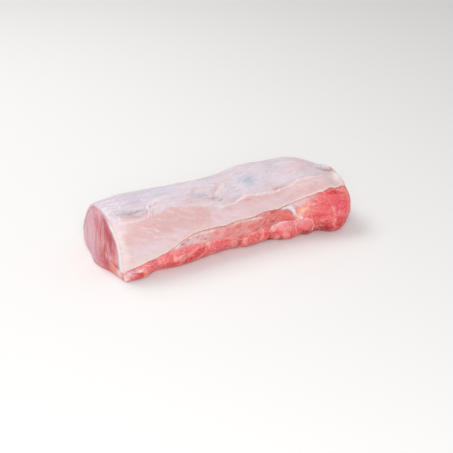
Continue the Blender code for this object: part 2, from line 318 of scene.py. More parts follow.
def patch(x, s, at_x, at_s, half_x, half_s, tilt=0):
    """1 in the middle of an oval patch, fading to 0 outside it. The tilt is in degrees."""
    u, v = slanted(x - at_x, s - at_s, tilt, half_x, half_s)
    return np.exp(-PATCH_FADE * (u * u + v * v)**PATCH_POWER)


def stroke(x, s, width, points):
    """1 on a bent line through the points, fading to 0 beside it."""
    near = np.inf
    for (start_x, start_s), (end_x, end_s) in zip(points, points[1:]):
        run, climb = end_x - start_x, end_s - start_s
        u = ((x - start_x) * run + (s - start_s) * climb) / (run * run + climb * climb)
        u = np.clip(u, 0, 1)
        near = np.minimum(near, (x - start_x - u * run)**2 + (s - start_s - u * climb)**2)
    return np.exp(-near / width**2)


def ridges(x, s, lines):
    """Height of lines that stand up from the surface, or lie sunk in it."""
    return sum(rise * stroke(x, s, width, points) for width, rise, *_, points in lines)


# ---------------- colours

# sRGB colours in bytes.
COLOURS = {
    # the fat and its membrane
    "white": (239, 229, 227), "ice": (225, 227, 234), "cream": (230, 210, 199),
    "pearl": (230, 216, 220), "blush": (223, 200, 205), "pink": (221, 188, 189),
    "rose": (215, 176, 176), "milk": (246, 208, 203), "sand": (236, 183, 157),
    "veil": (210, 197, 204), "lilac": (196, 186, 200), "sky": (199, 201, 215),
    "slate": (172, 178, 195), "mist": (219, 205, 212), "ash": (184, 171, 178),
    "dusk": (162, 145, 152), "mauve": (208, 188, 197), "plum": (184, 134, 150),
    # The first colour on the next line paints the fat's veins and the painted shadow under the fat's
    # front edge.
    "vein": (199, 143, 148), "dusty": (216, 142, 149),
    # the lean
    "shell": (243, 182, 172), "peach": (241, 154, 138), "petal": (238, 141, 144),
    "coral": (236, 128, 110), "flesh": (231, 109, 113), "buff": (217, 126, 118),
    "salmon": (224, 150, 149), "lean": (226, 86, 93), "red": (220, 62, 70),
    "berry": (224, 56, 84), "deep": (206, 26, 38), "wine": (192, 12, 30),
    "maroon": (140, 8, 22), "brick": (203, 78, 76), "tawny": (217, 92, 84),
    # the cut face
    "orchid": (220, 150, 166), "heather": (194, 134, 151), "cherry": (198, 76, 89),
    "garnet": (174, 42, 54), "violet": (158, 94, 111),
}


def linear(name):
    """Linear values of a named colour."""
    c = np.array(COLOURS[name], float) / 255
    return np.where(c <= 0.04045, c / 12.92, ((c + 0.055) / 1.055)**2.4)


def plain(name, shape):
    """Paint of one colour."""
    return np.broadcast_to(linear(name), shape + (3,)).copy()


def lay(paint, name, share):
    """Paint with a named colour laid over it by the share."""
    share = np.clip(share, 0, 1)[..., None]
    return paint * (1 - share) + linear(name) * share


def lay_marks(paint, marks, x, s, share=1.0):
    """Paint with each mark's soft patch laid over it."""
    for at_x, at_s, half_x, half_s, name, most, *tilt in marks:
        paint = lay(paint, name, share * most * patch(x, s, at_x, at_s, half_x, half_s, *tilt))
    return paint


def lay_heights(paint, height, share, *colours):
    """Paint with one colour laid on the heights of a noise and perhaps another in its hollows."""
    for sign, (name, most, start, full) in zip((1, -1), colours):
        paint = lay(paint, name, share * most * blend(sign * height, start, full))
    return paint


def lay_grains(paint, x, s, share, grains):
    """Paint with the colours of the grains laid over it."""
    for shape, *colours in grains:
        paint = lay_heights(paint, grain(x, s, *shape), share, *colours)
    return paint


def lay_lines(paint, lines, x, s, share=1.0):
    """Paint with lines drawn over it."""
    for width, *_, name, most, points in lines:
        paint = lay(paint, name, share * most * stroke(x, s, width, points))
    return paint


# ---------------- the fat

# Pale folds on the hidden side: width, rise, colour, share, points (x, s).
HIDDEN_FOLDS = (
    (1.2, 0.6, "pearl", 0.7, ((8, 158), (30, 162), (52, 158), (76, 162), (98, 158))),
    (1.2, 0.6, "pearl", 0.7, ((128, 172), (150, 176), (172, 170), (196, 172), (214, 166))),
    (1.1, 0.5, "pearl", 0.65, ((232, 166), (250, 170), (272, 164), (298, 166))),
)
# Raised folds of the membrane: width, rise, points (x, s).
FAT_FOLDS = (
    (1.3, 1.1, ((40, 78), (43, 82), (45, 87), (47, 93))),
    (1, 0.8, ((43.5, 79), (46, 83), (49, 88), (53, 91))),
    (0.9, 0.5, ((48, 90), (53, 92.5), (59, 95))),
    (1.2, 0.6, ((165, 74), (178, 74), (192, 71.5), (207, 71), (218, 73.5), (228, 77.5), (240, 80.5))),
    (1.1, 0.5, ((240, 80.5), (252, 84), (264, 86.5), (278, 90))),
    (1, 0.4, ((132, 68), (141, 69), (152, 69), (160, 72), (166, 74))),
    (0.9, 0.4, ((186, 74), (198, 74.5), (208, 77))),
    (0.9, 0.4, ((243, 77), (254, 80), (264, 84), (274, 88))),
    (1, 0.25, ((125, 83), (131, 88), (137, 95), (146, 103))),
    (0.9, 0.5, ((112, 87), (120, 84), (127, 80.5), (134, 79))),
    (0.9, 0.4, ((104, 94), (108, 99), (113, 104))), (0.9, 0.4, ((60, 104), (50, 101), (44, 96))),
    (0.9, 0.5, ((1, 77), (5, 80), (6, 85), (4, 91))),
    (0.8, 0.4, ((8, 79), (10, 84), (9, 90))),
)
# Grooves beside them.
FAT_GROOVES = (
    (1.1, 0.6, ((38, 79), (41.5, 84), (43.5, 90))),
    (0.9, 0.5, ((46.5, 80), (49.5, 85), (53, 88.5))),
    (1, 0.5, ((122, 85), (129, 82), (136, 81.5))), (1, 0.5, ((128, 79.5), (133, 77.5), (139, 77))),
    (1.2, 0.5, ((14, 84), (24, 82), (33, 81))),
    (0.9, 0.4, ((178, 71.5), (192, 69), (207, 68.7), (219, 71))),
    (0.8, 0.6, ((289, 105), (296, 106.5), (303, 107), (309, 106))),
)
# Lumps, most of them near the fat's right end: x, s, half length, half height, rise.
FAT_LUMPS = (
    (304, 86, 5, 4, 1.4), (311, 79, 5, 4, 1.5), (300, 95, 7, 3.5, 0.8), (309, 96, 4, 5, 1.2),
    (298, 104, 14, 1.6, -0.8), (313, 88, 3, 5, 1.2), (305, 112, 8, 4, 0.8),
    (282, 108, 3.5, 4, 0.7), (291, 111, 3, 4, 0.8), (299, 110, 2.5, 3.5, 0.8),
    (307, 104, 3, 3, 0.8), (300, 78, 3, 2.5, 0.8), (306, 79, 2.5, 2.5, 0.9),
    (312, 70, 3, 2.5, 0.8), (36, 50, 3, 9, -0.4), (117, 58, 2.5, 12, -0.5), (171, 69, 9, 3, 0.4),
)
# Soft patches of colour: x, s, half length, half height, colour, share and perhaps a tilt.
FAT_MARKS = (
    # the smooth band
    (60, 72, 70, 14, "rose", 0.9), (28, 60, 30, 13, "rose", 0.55),
    (30, 40, 34, 12, "blush", 0.45, 8), (70, 46, 20, 6, "blush", 0.6, 20),
    (37, 50, 2.5, 9, "rose", 0.6), (30, 28, 34, 4, "cream", 0.55, 10),
    (3, 50, 4, 30, "white", 0.6), (9, 74, 5, 9, "mist", 0.65), (32, 38, 24, 9, "mist", 0.5, 8),
    (72, 37, 14, 3, "cream", 0.75, 25), (104, 62, 14, 11, "rose", 0.55, -6),
    (126, 58, 7, 12, "blush", 0.7), (150, 54, 24, 8, "blush", 0.85),
    (165, 64, 26, 4.5, "pink", 0.75), (172, 69.3, 5.5, 2.5, "salmon", 0.85, -5),
    (183, 68.2, 8, 1.8, "rose", 0.7, -6), (205, 58, 26, 8, "blush", 0.6, 3),
    (203, 66.5, 20, 3.5, "rose", 0.5, 2), (234, 63, 18, 3.5, "rose", 0.45, 14),
    (264, 71, 16, 4, "rose", 0.5, 16), (240, 55.5, 22, 3, "cream", 0.55, 14),
    (262, 75, 14, 4.5, "rose", 0.65, 10),
    # the membrane: lavender and blue at the left, greyer to the right
    (30, 108, 30, 14, "lilac", 0.8), (18, 120, 16, 6, "lilac", 0.7),
    (62, 113, 16, 5, "sky", 0.8, 6), (86, 110, 12, 5, "sky", 0.8, -30),
    (44, 95, 4, 7, "slate", 0.6, 60), (60, 98, 18, 6, "mist", 0.8, 10),
    (60, 88, 22, 3.5, "mist", 0.8), (24, 90, 15, 4, "ash", 0.8, -4),
    (28, 86, 9, 1.6, "dusk", 0.7, -6), (30, 81.5, 5, 1.2, "dusk", 0.75, -8),
    (20, 82.5, 7, 1.2, "ash", 0.6, -5), (6, 84, 5, 9, "mist", 0.7),
    (88, 99, 9, 1.8, "ash", 0.6, 14), (74, 97, 7, 3, "mauve", 0.6),
    # the heather patches at x 42 and 48 are painted shade beside the membrane's fold
    (52, 92, 6, 1.1, "vein", 0.8, 25), (48, 90, 3, 1.2, "heather", 0.7, 45),
    (42, 82, 5, 1.3, "heather", 0.7, 62), (120, 88, 15, 5, "ash", 0.8, -24),
    (124, 84.5, 9, 1.6, "dusk", 0.75, -20), (131, 85, 4, 1.6, "plum", 0.75, 40),
    (135, 77.6, 5, 1.2, "dusk", 0.75, 15), (128, 87, 6, 2.2, "rose", 0.5, 50),
    (134, 93, 5, 1.8, "vein", 0.25, 40), (140, 97, 4, 1.4, "dusty", 0.35, 10),
    (148, 94, 4, 1.6, "pink", 0.5, 30), (143, 102, 9, 3.2, "rose", 0.55, 42),
    (152, 101, 4, 2.2, "rose", 0.7, 50), (112, 100, 8, 1.8, "ash", 0.6, 50),
    (122, 74, 9, 4, "mist", 0.7, -15), (131, 70, 3, 7, "mist", 0.8, -10),
    (110, 115, 20, 8, "mist", 0.6), (150, 122, 14, 8, "lilac", 0.6),
    (184, 96, 13, 10, "sky", 0.85, -15), (184, 97, 10, 7, "slate", 0.85, -15),
    (189, 101, 7, 3, "slate", 0.6, 20), (166, 93, 5, 6, "mist", 0.6, 60),
    (164, 84, 4, 2.5, "mauve", 0.7, 20), (192, 111, 2.5, 4, "rose", 0.5),
    (213, 75, 7, 2, "dusty", 0.9, 8), (207, 77, 5, 1.6, "rose", 0.7),
    (236, 99, 4.5, 4, "pink", 0.7), (240, 95, 1.5, 1.2, "plum", 0.7),
    (225, 90, 16, 5, "mist", 0.6, 8), (262, 112, 24, 12, "pink", 0.6, 35),
    (265, 104, 20, 3, "ash", 0.25, 35), (288, 98, 16, 4, "blush", 0.6, 18),
    (299, 106.5, 14, 2.4, "plum", 0.85, 6), (306, 105, 4, 2.6, "violet", 0.8),
    # painted light: the mist and white patches at x 297 and 309 lighten the right-facing end, which lies
    # in shade
    (297, 91, 12, 4, "mist", 0.7, 8), (309, 92, 7, 11, "white", 0.85),
    (300, 99, 8, 2.5, "rose", 0.5, 10), (305, 86, 6, 3.5, "pearl", 0.85, 5),
    # the white patch at x 304, s 118 is a painted highlight
    (312, 79, 5, 4, "mist", 0.8), (312, 100, 4, 5, "lilac", 0.7), (304, 118, 12, 5, "white", 0.7),
    (24, 89, 17, 5.5, "dusk", 0.65, -4), (36, 101, 10, 5, "ash", 0.4),
    # the hidden side
    (40, 168, 26, 12, "lilac", 0.7, -8), (62, 148, 16, 5, "sky", 0.75, 10),
    (96, 176, 20, 7, "mist", 0.75, 6), (118, 156, 9, 4, "rose", 0.6, 30),
    (128, 190, 14, 5, "ash", 0.55, -6), (158, 162, 16, 7, "slate", 0.6, -12),
    (176, 182, 12, 4, "dusty", 0.5, 20), (206, 150, 20, 8, "mist", 0.7, 8),
    (226, 176, 16, 6, "ash", 0.55, -10), (252, 158, 14, 6, "pink", 0.7, 20),
    (284, 170, 14, 8, "lilac", 0.65), (296, 148, 10, 5, "rose", 0.55, 12),
    (14, 190, 12, 5, "rose", 0.5),
)
# Pale and dark lines on the fat: width, colour, share, points (x, s). The pale lines along the
# membrane's ridge and over its fold are painted highlights.
FAT_LINES = (
    # painted highlight along the ridge, at the left
    (1.4, "pearl", 0.45, ((8, 77.5), (17, 76), (27, 77), (38, 78), (46, 80.5), (56, 84))),
    (0.8, "pearl", 0.6, ((42, 53), (51, 51.5), (60, 49.5))),
    (0.9, "vein", 0.3, ((44, 51), (54, 48.5), (66, 43.5))),
    (0.7, "pearl", 0.5, ((26, 66), (34, 62), (40, 56))),
    (0.7, "pearl", 0.5, ((30, 68), (38, 65), (46, 60))),
    (0.8, "dusty", 0.25, ((50, 62), (58, 59), (66, 55))),
    (0.8, "pearl", 0.45, ((66, 58), (74, 55), (84, 50))),
    # this line and the four after it are painted highlights along the ridge and its lip
    (1.6, "mist", 0.75, ((56, 84), (68, 86), (82, 84), (96, 80.5), (108, 76.5), (118, 73))),
    (1.3, "pearl", 0.85, ((132, 69), (142, 69.5), (152, 69.5), (160, 73), (168, 75.5))),
    (1.2, "pearl", 0.8, ((168, 75.5), (180, 74), (192, 71.8), (205, 71.3), (216, 73))),
    (1.3, "white", 0.65, ((214, 73), (224, 76), (234, 79.3), (244, 82.5))),
    (1.2, "pearl", 0.6, ((244, 82.5), (254, 85), (268, 87.5), (284, 90))),
    (1, "pearl", 0.45, ((243, 76), (254, 78), (266, 81), (280, 85))),
    (1, "mist", 0.6, ((186, 74.5), (198, 75), (208, 78))),
    # these two lines are painted highlights on the membrane's fold
    (1.1, "pearl", 0.5, ((44, 79), (47, 84), (51, 89), (56, 92.5))),
    (1, "pearl", 0.4, ((41, 79.5), (44, 85), (46.5, 92))),
    (1, "pearl", 0.6, ((138, 90), (146, 95), (154, 103))),
    (1.2, "mist", 0.5, ((164, 88), (167, 95), (166, 101))),
    (1.3, "vein", 0.25, ((84, 182), (92, 181), (98, 176), (103, 168), (112, 165))),
    (1.3, "vein", 0.25, ((220, 186), (228, 182), (235, 182), (242, 176))),
)
RIDGE_WANDER = ((1.1, 8, 8, 0, 3),)
RIDGE_BLEND = (-1.4, 1.6)       # heights over the ridge where the membrane starts and is whole
LIP = (0.315, 2, 1.8)           # the membrane's rolled lip: height, place over the ridge, width
LIP_RELIEF = ((0.45, 12, 30, 0, 8),)
FAT_WANDER = (((3, 14, 14, 0, 9),), ((2.5, 16, 12, 0, 10),))
MEMBRANE_RELIEF = ((0.36, 13, 3.4, 0, 11), (0.2, 9, 1.9, 38, 14))
BAND_RELIEF = ((0.15, 9, 6, 0, 19), (0.12, 11, 1.8, -28, 21, 1))
FAT_SWELLS = ((0.25, 26, 20, 0, 23),)
FAT_PAINT_WANDER = (((3, 15, 11, 0, 31), (1, 2.6, 2.6, 0, 33, 1)),
                    ((1.8, 15, 9, 0, 32), (0.7, 2.6, 2.2, 0, 34, 1)))
MEMBRANE_GRAINS = (
    ((15, 2.6, 0, 36), ("pearl", 0.45, 0.15, 0.8), ("ash", 0.45, 0.2, 0.9)),
    ((10, 2, 40, 37), ("mist", 0.35, 0.2, 0.8), ("plum", 0.2, 0.3, 0.9)),
    ((20, 9, 0, 39), ("rose", 0.4, 0.25, 0.9)),
)
BAND_SCRAPES = (((12, 1.7, -28, 41, 1), ("cream", 0.34, 0.25, 0.9), ("dusty", 0.16, 0.3, 0.9)),)
BAND_BLOTCHES = (((6, 4, 0, 42), ("blush", 0.34, 0.2, 0.9), ("vein", 0.12, 0.3, 1)),)
# The cream edge: how far it reaches, over what more it fades, where it is whole, and its share.
CREAM_EDGE = (3.2, 1.6, 0.8, 0.85)
CREAM_WANDER = ((1.6, 9, 9, 0, 43),)
EDGE_GRAINS = (((2.4, 1.8, 0, 44), ("white", 0.5, 0.1, 0.8), ("dusty", 0.4, 0.2, 0.9)),)


def over_ridge(x, z, g):
    """0 on the smooth band of the fat's front, 1 on the membrane above its ridge."""
    over = z - line(x, RIDGE) + rough(x, z, RIDGE_WANDER)
    return np.where(g > CROWN_G, 1, blend(over, *RIDGE_BLEND))


def fat_relief(x, s, z, g):
    """Height of the fat's outside over the bare section."""
    above = over_ridge(x, z, g)
    short, long = FAT_WAVE_LENGTHS
    rise = MEMBRANE_RISE * above
    rise += FAT_WAVE * np.sin(x / short + g) * np.sin(FAT_WAVE_TURN * g + x / long)
    height, over, width = LIP
    lip = np.exp(-((z - line(x, RIDGE) - over) / width)**2) * (g < CROWN_G)
    rise += lip * (height + rough(x, s, LIP_RELIEF))
    wx, ws = wander(x, s, *FAT_WANDER)
    rise += above * rough(wx, ws, MEMBRANE_RELIEF) + (1 - above) * rough(wx, ws, BAND_RELIEF)
    rise += rough(x, s, FAT_SWELLS)
    rise += ridges(wx, ws, FAT_FOLDS + HIDDEN_FOLDS) - ridges(wx, ws, FAT_GROOVES)
    for at_x, at_s, half_x, half_s, height in FAT_LUMPS:
        rise += height * np.exp(-((x - at_x) / half_x)**2 - ((s - at_s) / half_s)**2)
    return rise


def fat_paint(x, s, z, g, near):
    """Colour of the fat's outside; near is the distance to the nearer of its long edges."""
    wx, ws = wander(x, s, *FAT_PAINT_WANDER)
    above = over_ridge(x, z, g)
    paint = lay(plain("pink", x.shape), "veil", above)
    paint = lay_marks(paint, FAT_MARKS, wx, ws)
    paint = lay_grains(paint, wx, ws, above, MEMBRANE_GRAINS)
    paint = lay_grains(paint, wx, ws, 1 - above, BAND_SCRAPES)
    paint = lay_grains(paint, x, s, 1 - above, BAND_BLOTCHES)
    paint = lay_lines(paint, FAT_LINES + HIDDEN_FOLDS, wx, ws)
    reach, fade, whole, most = CREAM_EDGE
    cream = blend(near, reach + fade + rough(x, 0 * x, CREAM_WANDER), whole)
    paint = lay(paint, "cream", most * cream)
    return lay_grains(paint, x, s, cream, EDGE_GRAINS)


# ---------------- the lean

# Lower edge of the fibrous flap under the fat: x, s.
FLAP_FOOT = ((58, 30), (90, 31), (110, 29.5), (120, 30), (140, 28), (155, 23), (168, 21),
             (176, 25), (185, 24.5), (192, 26), (200, 24.5), (206, 28), (220, 31), (230, 31.5),
             (240, 35))
FLAP_START = (56, 70)           # x where it starts and where it is whole
FLAP_FOOT_FADE = (-0.9, 1.4)    # distances from its lower edge where it starts and is whole
FLAP_END_FADE = (-1, 1)
# Its rounded end: x and s of the tip, and how far it draws back above it, and more below it.
FLAP_END = (239.5, 35.0, 1.15, 1.5)
FLAP_RAGGED = ((0.8, 4, 4, 0, 46),)
# Muscle bundles: x, s, half length, half height, tilt, rise.
BUNDLES = (
    (3, 6, 6, 6, 0, 1.2), (17, 8, 8, 5.5, 0, 1.6), (27, 9, 4, 6, 0, 1), (36, 17, 10, 8, 10, 1.2),
    (46, 17, 5, 8, 0, 0.9), (56, 19, 8, 11, 0, 1.3), (71, 23, 8, 8, 0, 1),
    (72, 12, 9, 5.5, 0, 1.1), (88, 27, 17, 5, 2, 0.9), (95, 15, 16, 5.5, 22, 1.5),
    (112, 12, 6, 8, 0, 1.1), (131, 18, 15, 12, 0, 1.6), (152, 16, 7, 8, -15, 1.2),
    (161, 14, 4.5, 7, -20, 1), (173, 14, 8, 9, 0, 1.3), (184, 13, 6, 9, 0, 1.3),
    (197, 15, 7.5, 10, 0, 1.5), (208, 20, 6, 9, 0, 1.3), (222, 23, 13, 8, 4, 1.4),
    (230, 11, 8, 6, 0, 1.1), (216, 11, 7, 6, 0, 1), (248, 23, 13, 9, 0, 1.4),
    (246, 12, 8, 6, 0, 1.1), (275, 20, 11, 11, 0, 1.3), (288, 16, 6, 12, 0, 0.9),
    (302, 20, 9, 14, 0, 1.1), (266, 46, 15, 13, 25, 1.2), (290, 61, 18, 10, 8, 1.2),
    (301, 43, 9, 10, 0, 1), (282, 42, 9, 9, 0, 0.8),
)
# Soft patches of colour, written like those of the fat.
LEAN_MARKS = (
    # left foot
    (3, 6, 5, 6, "milk", 0.9), (5, 11, 5, 4, "pink", 0.8), (11, 13, 7, 4, "mauve", 0.9, 15),
    (12, 18, 2.2, 1.5, "violet", 0.8), (17, 9, 8, 4.5, "deep", 0.9), (9, 5, 4, 5, "flesh", 0.8),
    (19.5, 14.5, 2.8, 2, "white", 0.95), (24, 15, 3, 3, "pink", 0.8),
    (27, 10, 3.5, 6, "peach", 0.8), (35, 16, 9, 8, "lean", 0.85, 10),
    (36, 22, 8, 2, "cherry", 0.7, 12), (35.5, 20.8, 1.2, 1.4, "peach", 0.8),
    (45.8, 18.3, 1.6, 2.2, "shell", 0.85), (45, 23, 5, 3, "petal", 0.7, 10),
    (44, 11, 4, 3, "red", 0.7), (56, 22, 6, 8, "flesh", 0.8), (56, 11.5, 7, 3, "deep", 0.9),
    (60, 15, 3, 4, "red", 0.7), (65.3, 22, 1.5, 3.4, "shell", 0.9),
    (62, 28, 3, 2, "shell", 0.7, 20), (70, 25, 6, 5, "flesh", 0.7),
    (70, 29.5, 8, 2.2, "salmon", 0.85, -6), (88, 28, 10, 2.2, "petal", 0.8),
    (86, 24.5, 9, 1.4, "berry", 0.3, -6), (98, 24.5, 6, 1.6, "shell", 0.6),
    (76, 20.5, 5, 1.2, "shell", 0.6, 8), (72, 18, 8, 2.6, "shell", 0.6),
    (80, 18, 5, 2, "brick", 0.6, 10), (73, 13, 4.5, 3, "red", 0.9), (64, 10, 6, 3, "deep", 0.6),
    (87, 27, 15, 4, "flesh", 0.85), (104, 27, 5, 3, "petal", 0.8),
    # the deep red bundle and the web beside it
    (95, 15, 15, 5.4, "deep", 1, 22), (100, 17, 8, 3.2, "wine", 1, 18),
    (89, 12, 9, 4, "wine", 1, 12), (112, 28, 3, 4, "blush", 0.9, -20),
    (111, 12, 5, 7, "red", 0.85), (118, 14, 4, 7, "flesh", 0.7),
    # the middle
    (132, 17, 14, 11, "lean", 0.9), (139, 18, 4, 4, "red", 0.8),
    # the petal band at s 28.5 is a painted highlight on the bundle's top
    (128, 28.5, 12, 2.4, "petal", 0.85), (145, 16, 2.5, 3.5, "flesh", 0.8),
    (124, 7, 5, 3, "petal", 0.8, -30), (133, 9, 6, 3, "brick", 0.6), (151, 17, 4, 6, "buff", 0.85),
    (160, 15, 3, 5, "brick", 0.85, -15), (166, 22.8, 10, 2.2, "tawny", 0.85),
    (173, 14, 6, 7, "tawny", 0.8), (183, 14, 5, 7, "lean", 0.9),
    # the shell patches at x 177, 190, 193 and 166 are painted highlights on the bundles' tops
    (177, 24, 8, 1.8, "shell", 0.8, 5), (190, 25, 3, 1.6, "shell", 0.8),
    # the maroon patch at x 158 is painted shade in a gap between bundles
    (193, 13, 2, 4, "shell", 0.6), (158, 12, 3, 3, "maroon", 0.5), (166, 16, 3, 3.5, "shell", 0.5),
    (188, 22, 3, 3, "salmon", 0.8), (189, 20, 2, 1, "cherry", 0.6), (197, 16, 6, 8, "red", 0.9),
    (204, 14, 2.2, 5, "deep", 0.85),
    # the big chunk and its neighbours
    # painted highlights on the chunk's top: the shell patch at x 207 and the blush band at x 214
    (207, 23, 4.5, 4, "shell", 0.9), (214, 27.5, 8, 2.8, "blush", 0.85, 4),
    (212, 16, 5.5, 3.2, "red", 0.9), (207, 12, 2.5, 6, "flesh", 0.8),
    (222, 22, 9, 4.5, "petal", 0.85), (231, 20, 4, 3, "petal", 0.8),
    (229, 27.5, 8, 2.8, "petal", 0.8), (231, 12, 5, 4, "deep", 0.9),
    (224, 13, 4, 3, "petal", 0.85), (235, 15, 2, 4, "coral", 0.8),
    (238, 23, 1.6, 5, "shell", 0.85), (245, 28, 7, 3, "salmon", 0.85),
    (246, 26, 9, 4.5, "salmon", 0.85), (243, 16, 5, 3.2, "red", 0.85),
    # painted shade: the maroon patches at x 207, 219 and 255 lie low in the gaps under the foot's lumps
    (255, 23, 4, 4, "flesh", 0.8), (255, 10, 7, 3.6, "maroon", 0.85),
    (207, 5, 5, 3.6, "maroon", 0.9), (214, 7, 1.6, 2, "shell", 0.8),
    (219, 7, 2.6, 3, "maroon", 0.9), (264, 22, 3, 6, "lean", 0.6),
    # under the swelling: the meat's darker red, with painted shade of the swelling's underside in its
    # maroon and wine patches
    (273, 20, 9, 9, "brick", 0.8), (276, 27.6, 3.5, 1.2, "buff", 0.7),
    (274, 19, 3, 1.5, "flesh", 0.7), (281, 17, 11, 6.5, "wine", 0.9),
    (281, 11.5, 8, 5, "maroon", 0.9), (281, 25, 8, 3, "deep", 0.7, 10),
    (299, 24, 8, 7, "wine", 0.85), (273, 14, 13, 4.5, "maroon", 0.6), (298, 16, 9, 5, "wine", 0.8),
    (306, 30, 5, 10, "brick", 0.7), (292, 16, 1.6, 3, "flesh", 0.8),
    # the swelling
    (270, 34, 16, 4, "red", 0.8), (256, 43, 6, 7, "coral", 0.7), (256, 43, 6, 7, "buff", 0.4),
    (261, 52, 8, 6, "dusty", 0.55), (262, 52, 3, 1.5, "cherry", 0.6),
    (276, 50, 12, 9, "lean", 0.9, 20), (298, 48, 10, 10, "berry", 0.85),
    (290, 64, 14, 3, "deep", 0.95), (290, 69.5, 10, 1.8, "flesh", 0.85, 4),
    (301, 68, 6, 3, "petal", 0.85), (310, 57, 3, 8, "coral", 0.8), (303, 46, 5, 5, "berry", 0.7),
    # the small shell patches at x 284 to 291 are partly marbling, partly painted highlights
    (286.5, 42, 2, 3, "shell", 0.65), (284, 45, 1.4, 1.6, "shell", 0.5),
    (288.5, 35.5, 1.3, 2.2, "shell", 0.45), (290.5, 27.5, 1.5, 3, "shell", 0.6),
    (289.5, 21.5, 1.2, 2, "petal", 0.6), (290, 43, 3, 3, "cherry", 0.5),
    (309, 44, 3, 9, "flesh", 0.7), (308, 67, 4, 7, "coral", 0.8),
    # the fat pad beside the flap
    (245, 37, 4.5, 5, "shell", 0.95), (246, 43.5, 5.5, 3.8, "sand", 0.85),
    (242, 51.5, 9, 3.6, "blush", 0.95, 5), (246, 56, 9, 3, "pink", 0.95, 12),
    (257, 60.5, 6, 3, "rose", 0.75, 20), (232, 52, 8, 2.6, "pink", 0.95, 8),
)
# Patches that lie on the flap alone.
FLAP_MARKS = (
    (92, 37, 34, 9, "pink", 0.85), (69, 33, 4, 1.8, "pearl", 0.9, 15),
    (82, 34, 6, 2.4, "mauve", 0.9), (77, 34.8, 2.8, 1.5, "violet", 0.7, 10),
    (77, 32, 4, 1.2, "orchid", 0.8), (84.5, 38.5, 2.4, 1.2, "violet", 0.6, 10),
    (92, 41, 2.5, 1.5, "plum", 0.7, 20), (97, 38.5, 2.2, 1.6, "violet", 0.6),
    (108, 34, 3.5, 1.4, "violet", 0.8), (104, 36, 3, 2.4, "orchid", 0.7),
    (119, 36, 6, 4, "buff", 0.7), (124, 37.5, 4, 2, "flesh", 0.7), (139, 39, 3, 1.6, "tawny", 0.6),
    (150, 35, 14, 5, "buff", 0.7), (155, 38.5, 4, 1.8, "tawny", 0.8),
    (158, 30, 5, 2.4, "buff", 0.7), (174, 34, 6, 4, "tawny", 0.8), (182, 27, 6, 3, "brick", 0.9),
    (160, 24.5, 12, 2.8, "tawny", 0.8, -5), (139, 30, 6, 3.5, "tawny", 0.55),
    (164, 33, 5, 4, "dusty", 0.6), (206, 36, 5, 3, "cherry", 0.5, 30),
    (200, 40, 3, 1.6, "pink", 0.6), (187, 37, 4, 3, "flesh", 0.7, 30),
    (197, 38, 3, 2, "dusty", 0.8), (220, 38, 22, 9, "tawny", 0.9), (194, 33, 10, 9, "brick", 0.6),
    (194, 44, 5, 3, "flesh", 0.7), (202, 28, 6, 3, "brick", 0.8), (207, 33, 4, 2, "garnet", 0.7),
    (206, 45.5, 4, 1.4, "garnet", 0.8), (229, 39, 5, 3, "coral", 0.6), (224, 34, 6, 2, "red", 0.7),
)
# Lines on the lean: width, rise, colour, share, points (x, s).
LEAN_LINES = (
    (0.9, 0.3, "peach", 0.8, ((74, 13), (80, 15.5), (88, 20), (97, 24))),
    (0.8, 0.4, "shell", 0.9, ((112, 28), (113.5, 24), (116, 19.5))),
    (0.8, 0.3, "shell", 0.8, ((111, 28), (105, 30.5), (97, 31))),
    (0.8, 0.3, "peach", 0.85, ((111, 22), (109.5, 17), (106, 12.5), (99, 9))),
    (0.8, 0.3, "shell", 0.8, ((138, 27), (146, 25.6), (152, 24), (157, 21), (163, 20))),
    (0.9, 0.4, "peach", 0.85, ((158, 20.5), (163, 19), (166.5, 14), (169, 9.5))),
    (0.8, 0.2, "peach", 0.6, ((146, 24), (148, 18), (152, 12))),
    (0.9, 0.3, "peach", 0.85, ((170, 22), (178, 24), (186, 25.5), (192, 26))),
    (0.9, 0.3, "peach", 0.85, ((187, 9), (190.5, 11), (193, 15), (193, 21))),
    # the milk line over the chunk's top edge is partly pale tissue, partly a painted highlight
    (1, 0.5, "milk", 0.9, ((202.5, 21), (204, 25), (209, 28), (216, 29.5), (228, 30.5))),
    (0.7, 0.2, "peach", 0.7, ((217, 24), (222, 18), (221, 12))),
    (0.8, 0.3, "shell", 0.5, ((236, 30), (238.5, 26), (238, 20), (240, 15))),
    (0.9, 0.4, "shell", 0.9, ((252, 29), (258, 28), (262, 24.5), (264, 20), (263, 14))),
    (0.8, 0.2, "petal", 0.7, ((264, 20), (270, 17), (276, 13))),
    (0.7, 0.2, "petal", 0.8, ((272, 26), (275, 28.4), (280, 28))),
    (0.7, 0.2, "buff", 0.7, ((270, 18.5), (274, 20.4), (278, 18))),
    (0.8, 0.2, "coral", 0.7, ((290, 21), (291.5, 17), (293, 13))),
    (0.8, 0.3, "petal", 0.7, ((118, 12), (123, 8.5), (130, 6))),
    (1.1, 0.8, "cream", 0.85, ((88, 41), (98, 42.2), (112, 41.6), (122, 41))),
    (1.1, 0.6, "cream", 0.8, ((148, 42), (154, 43.6), (160, 44), (167, 43.5), (178, 42.6), (190, 41.5))),
    (2.4, 0.9, "ice", 0.95,
     ((219, 47.6), (226, 48.2), (231, 47.2), (234, 44.5), (235.8, 41), (237, 37.5))),
    (1.9, 0.6, "ice", 0.9, ((224, 49.6), (230, 49.8), (234.5, 47.5), (236.5, 44.5))),
    (1.2, 0.5, "cream", 0.9, ((238, 37), (242, 33.5), (248, 31.5))),
)
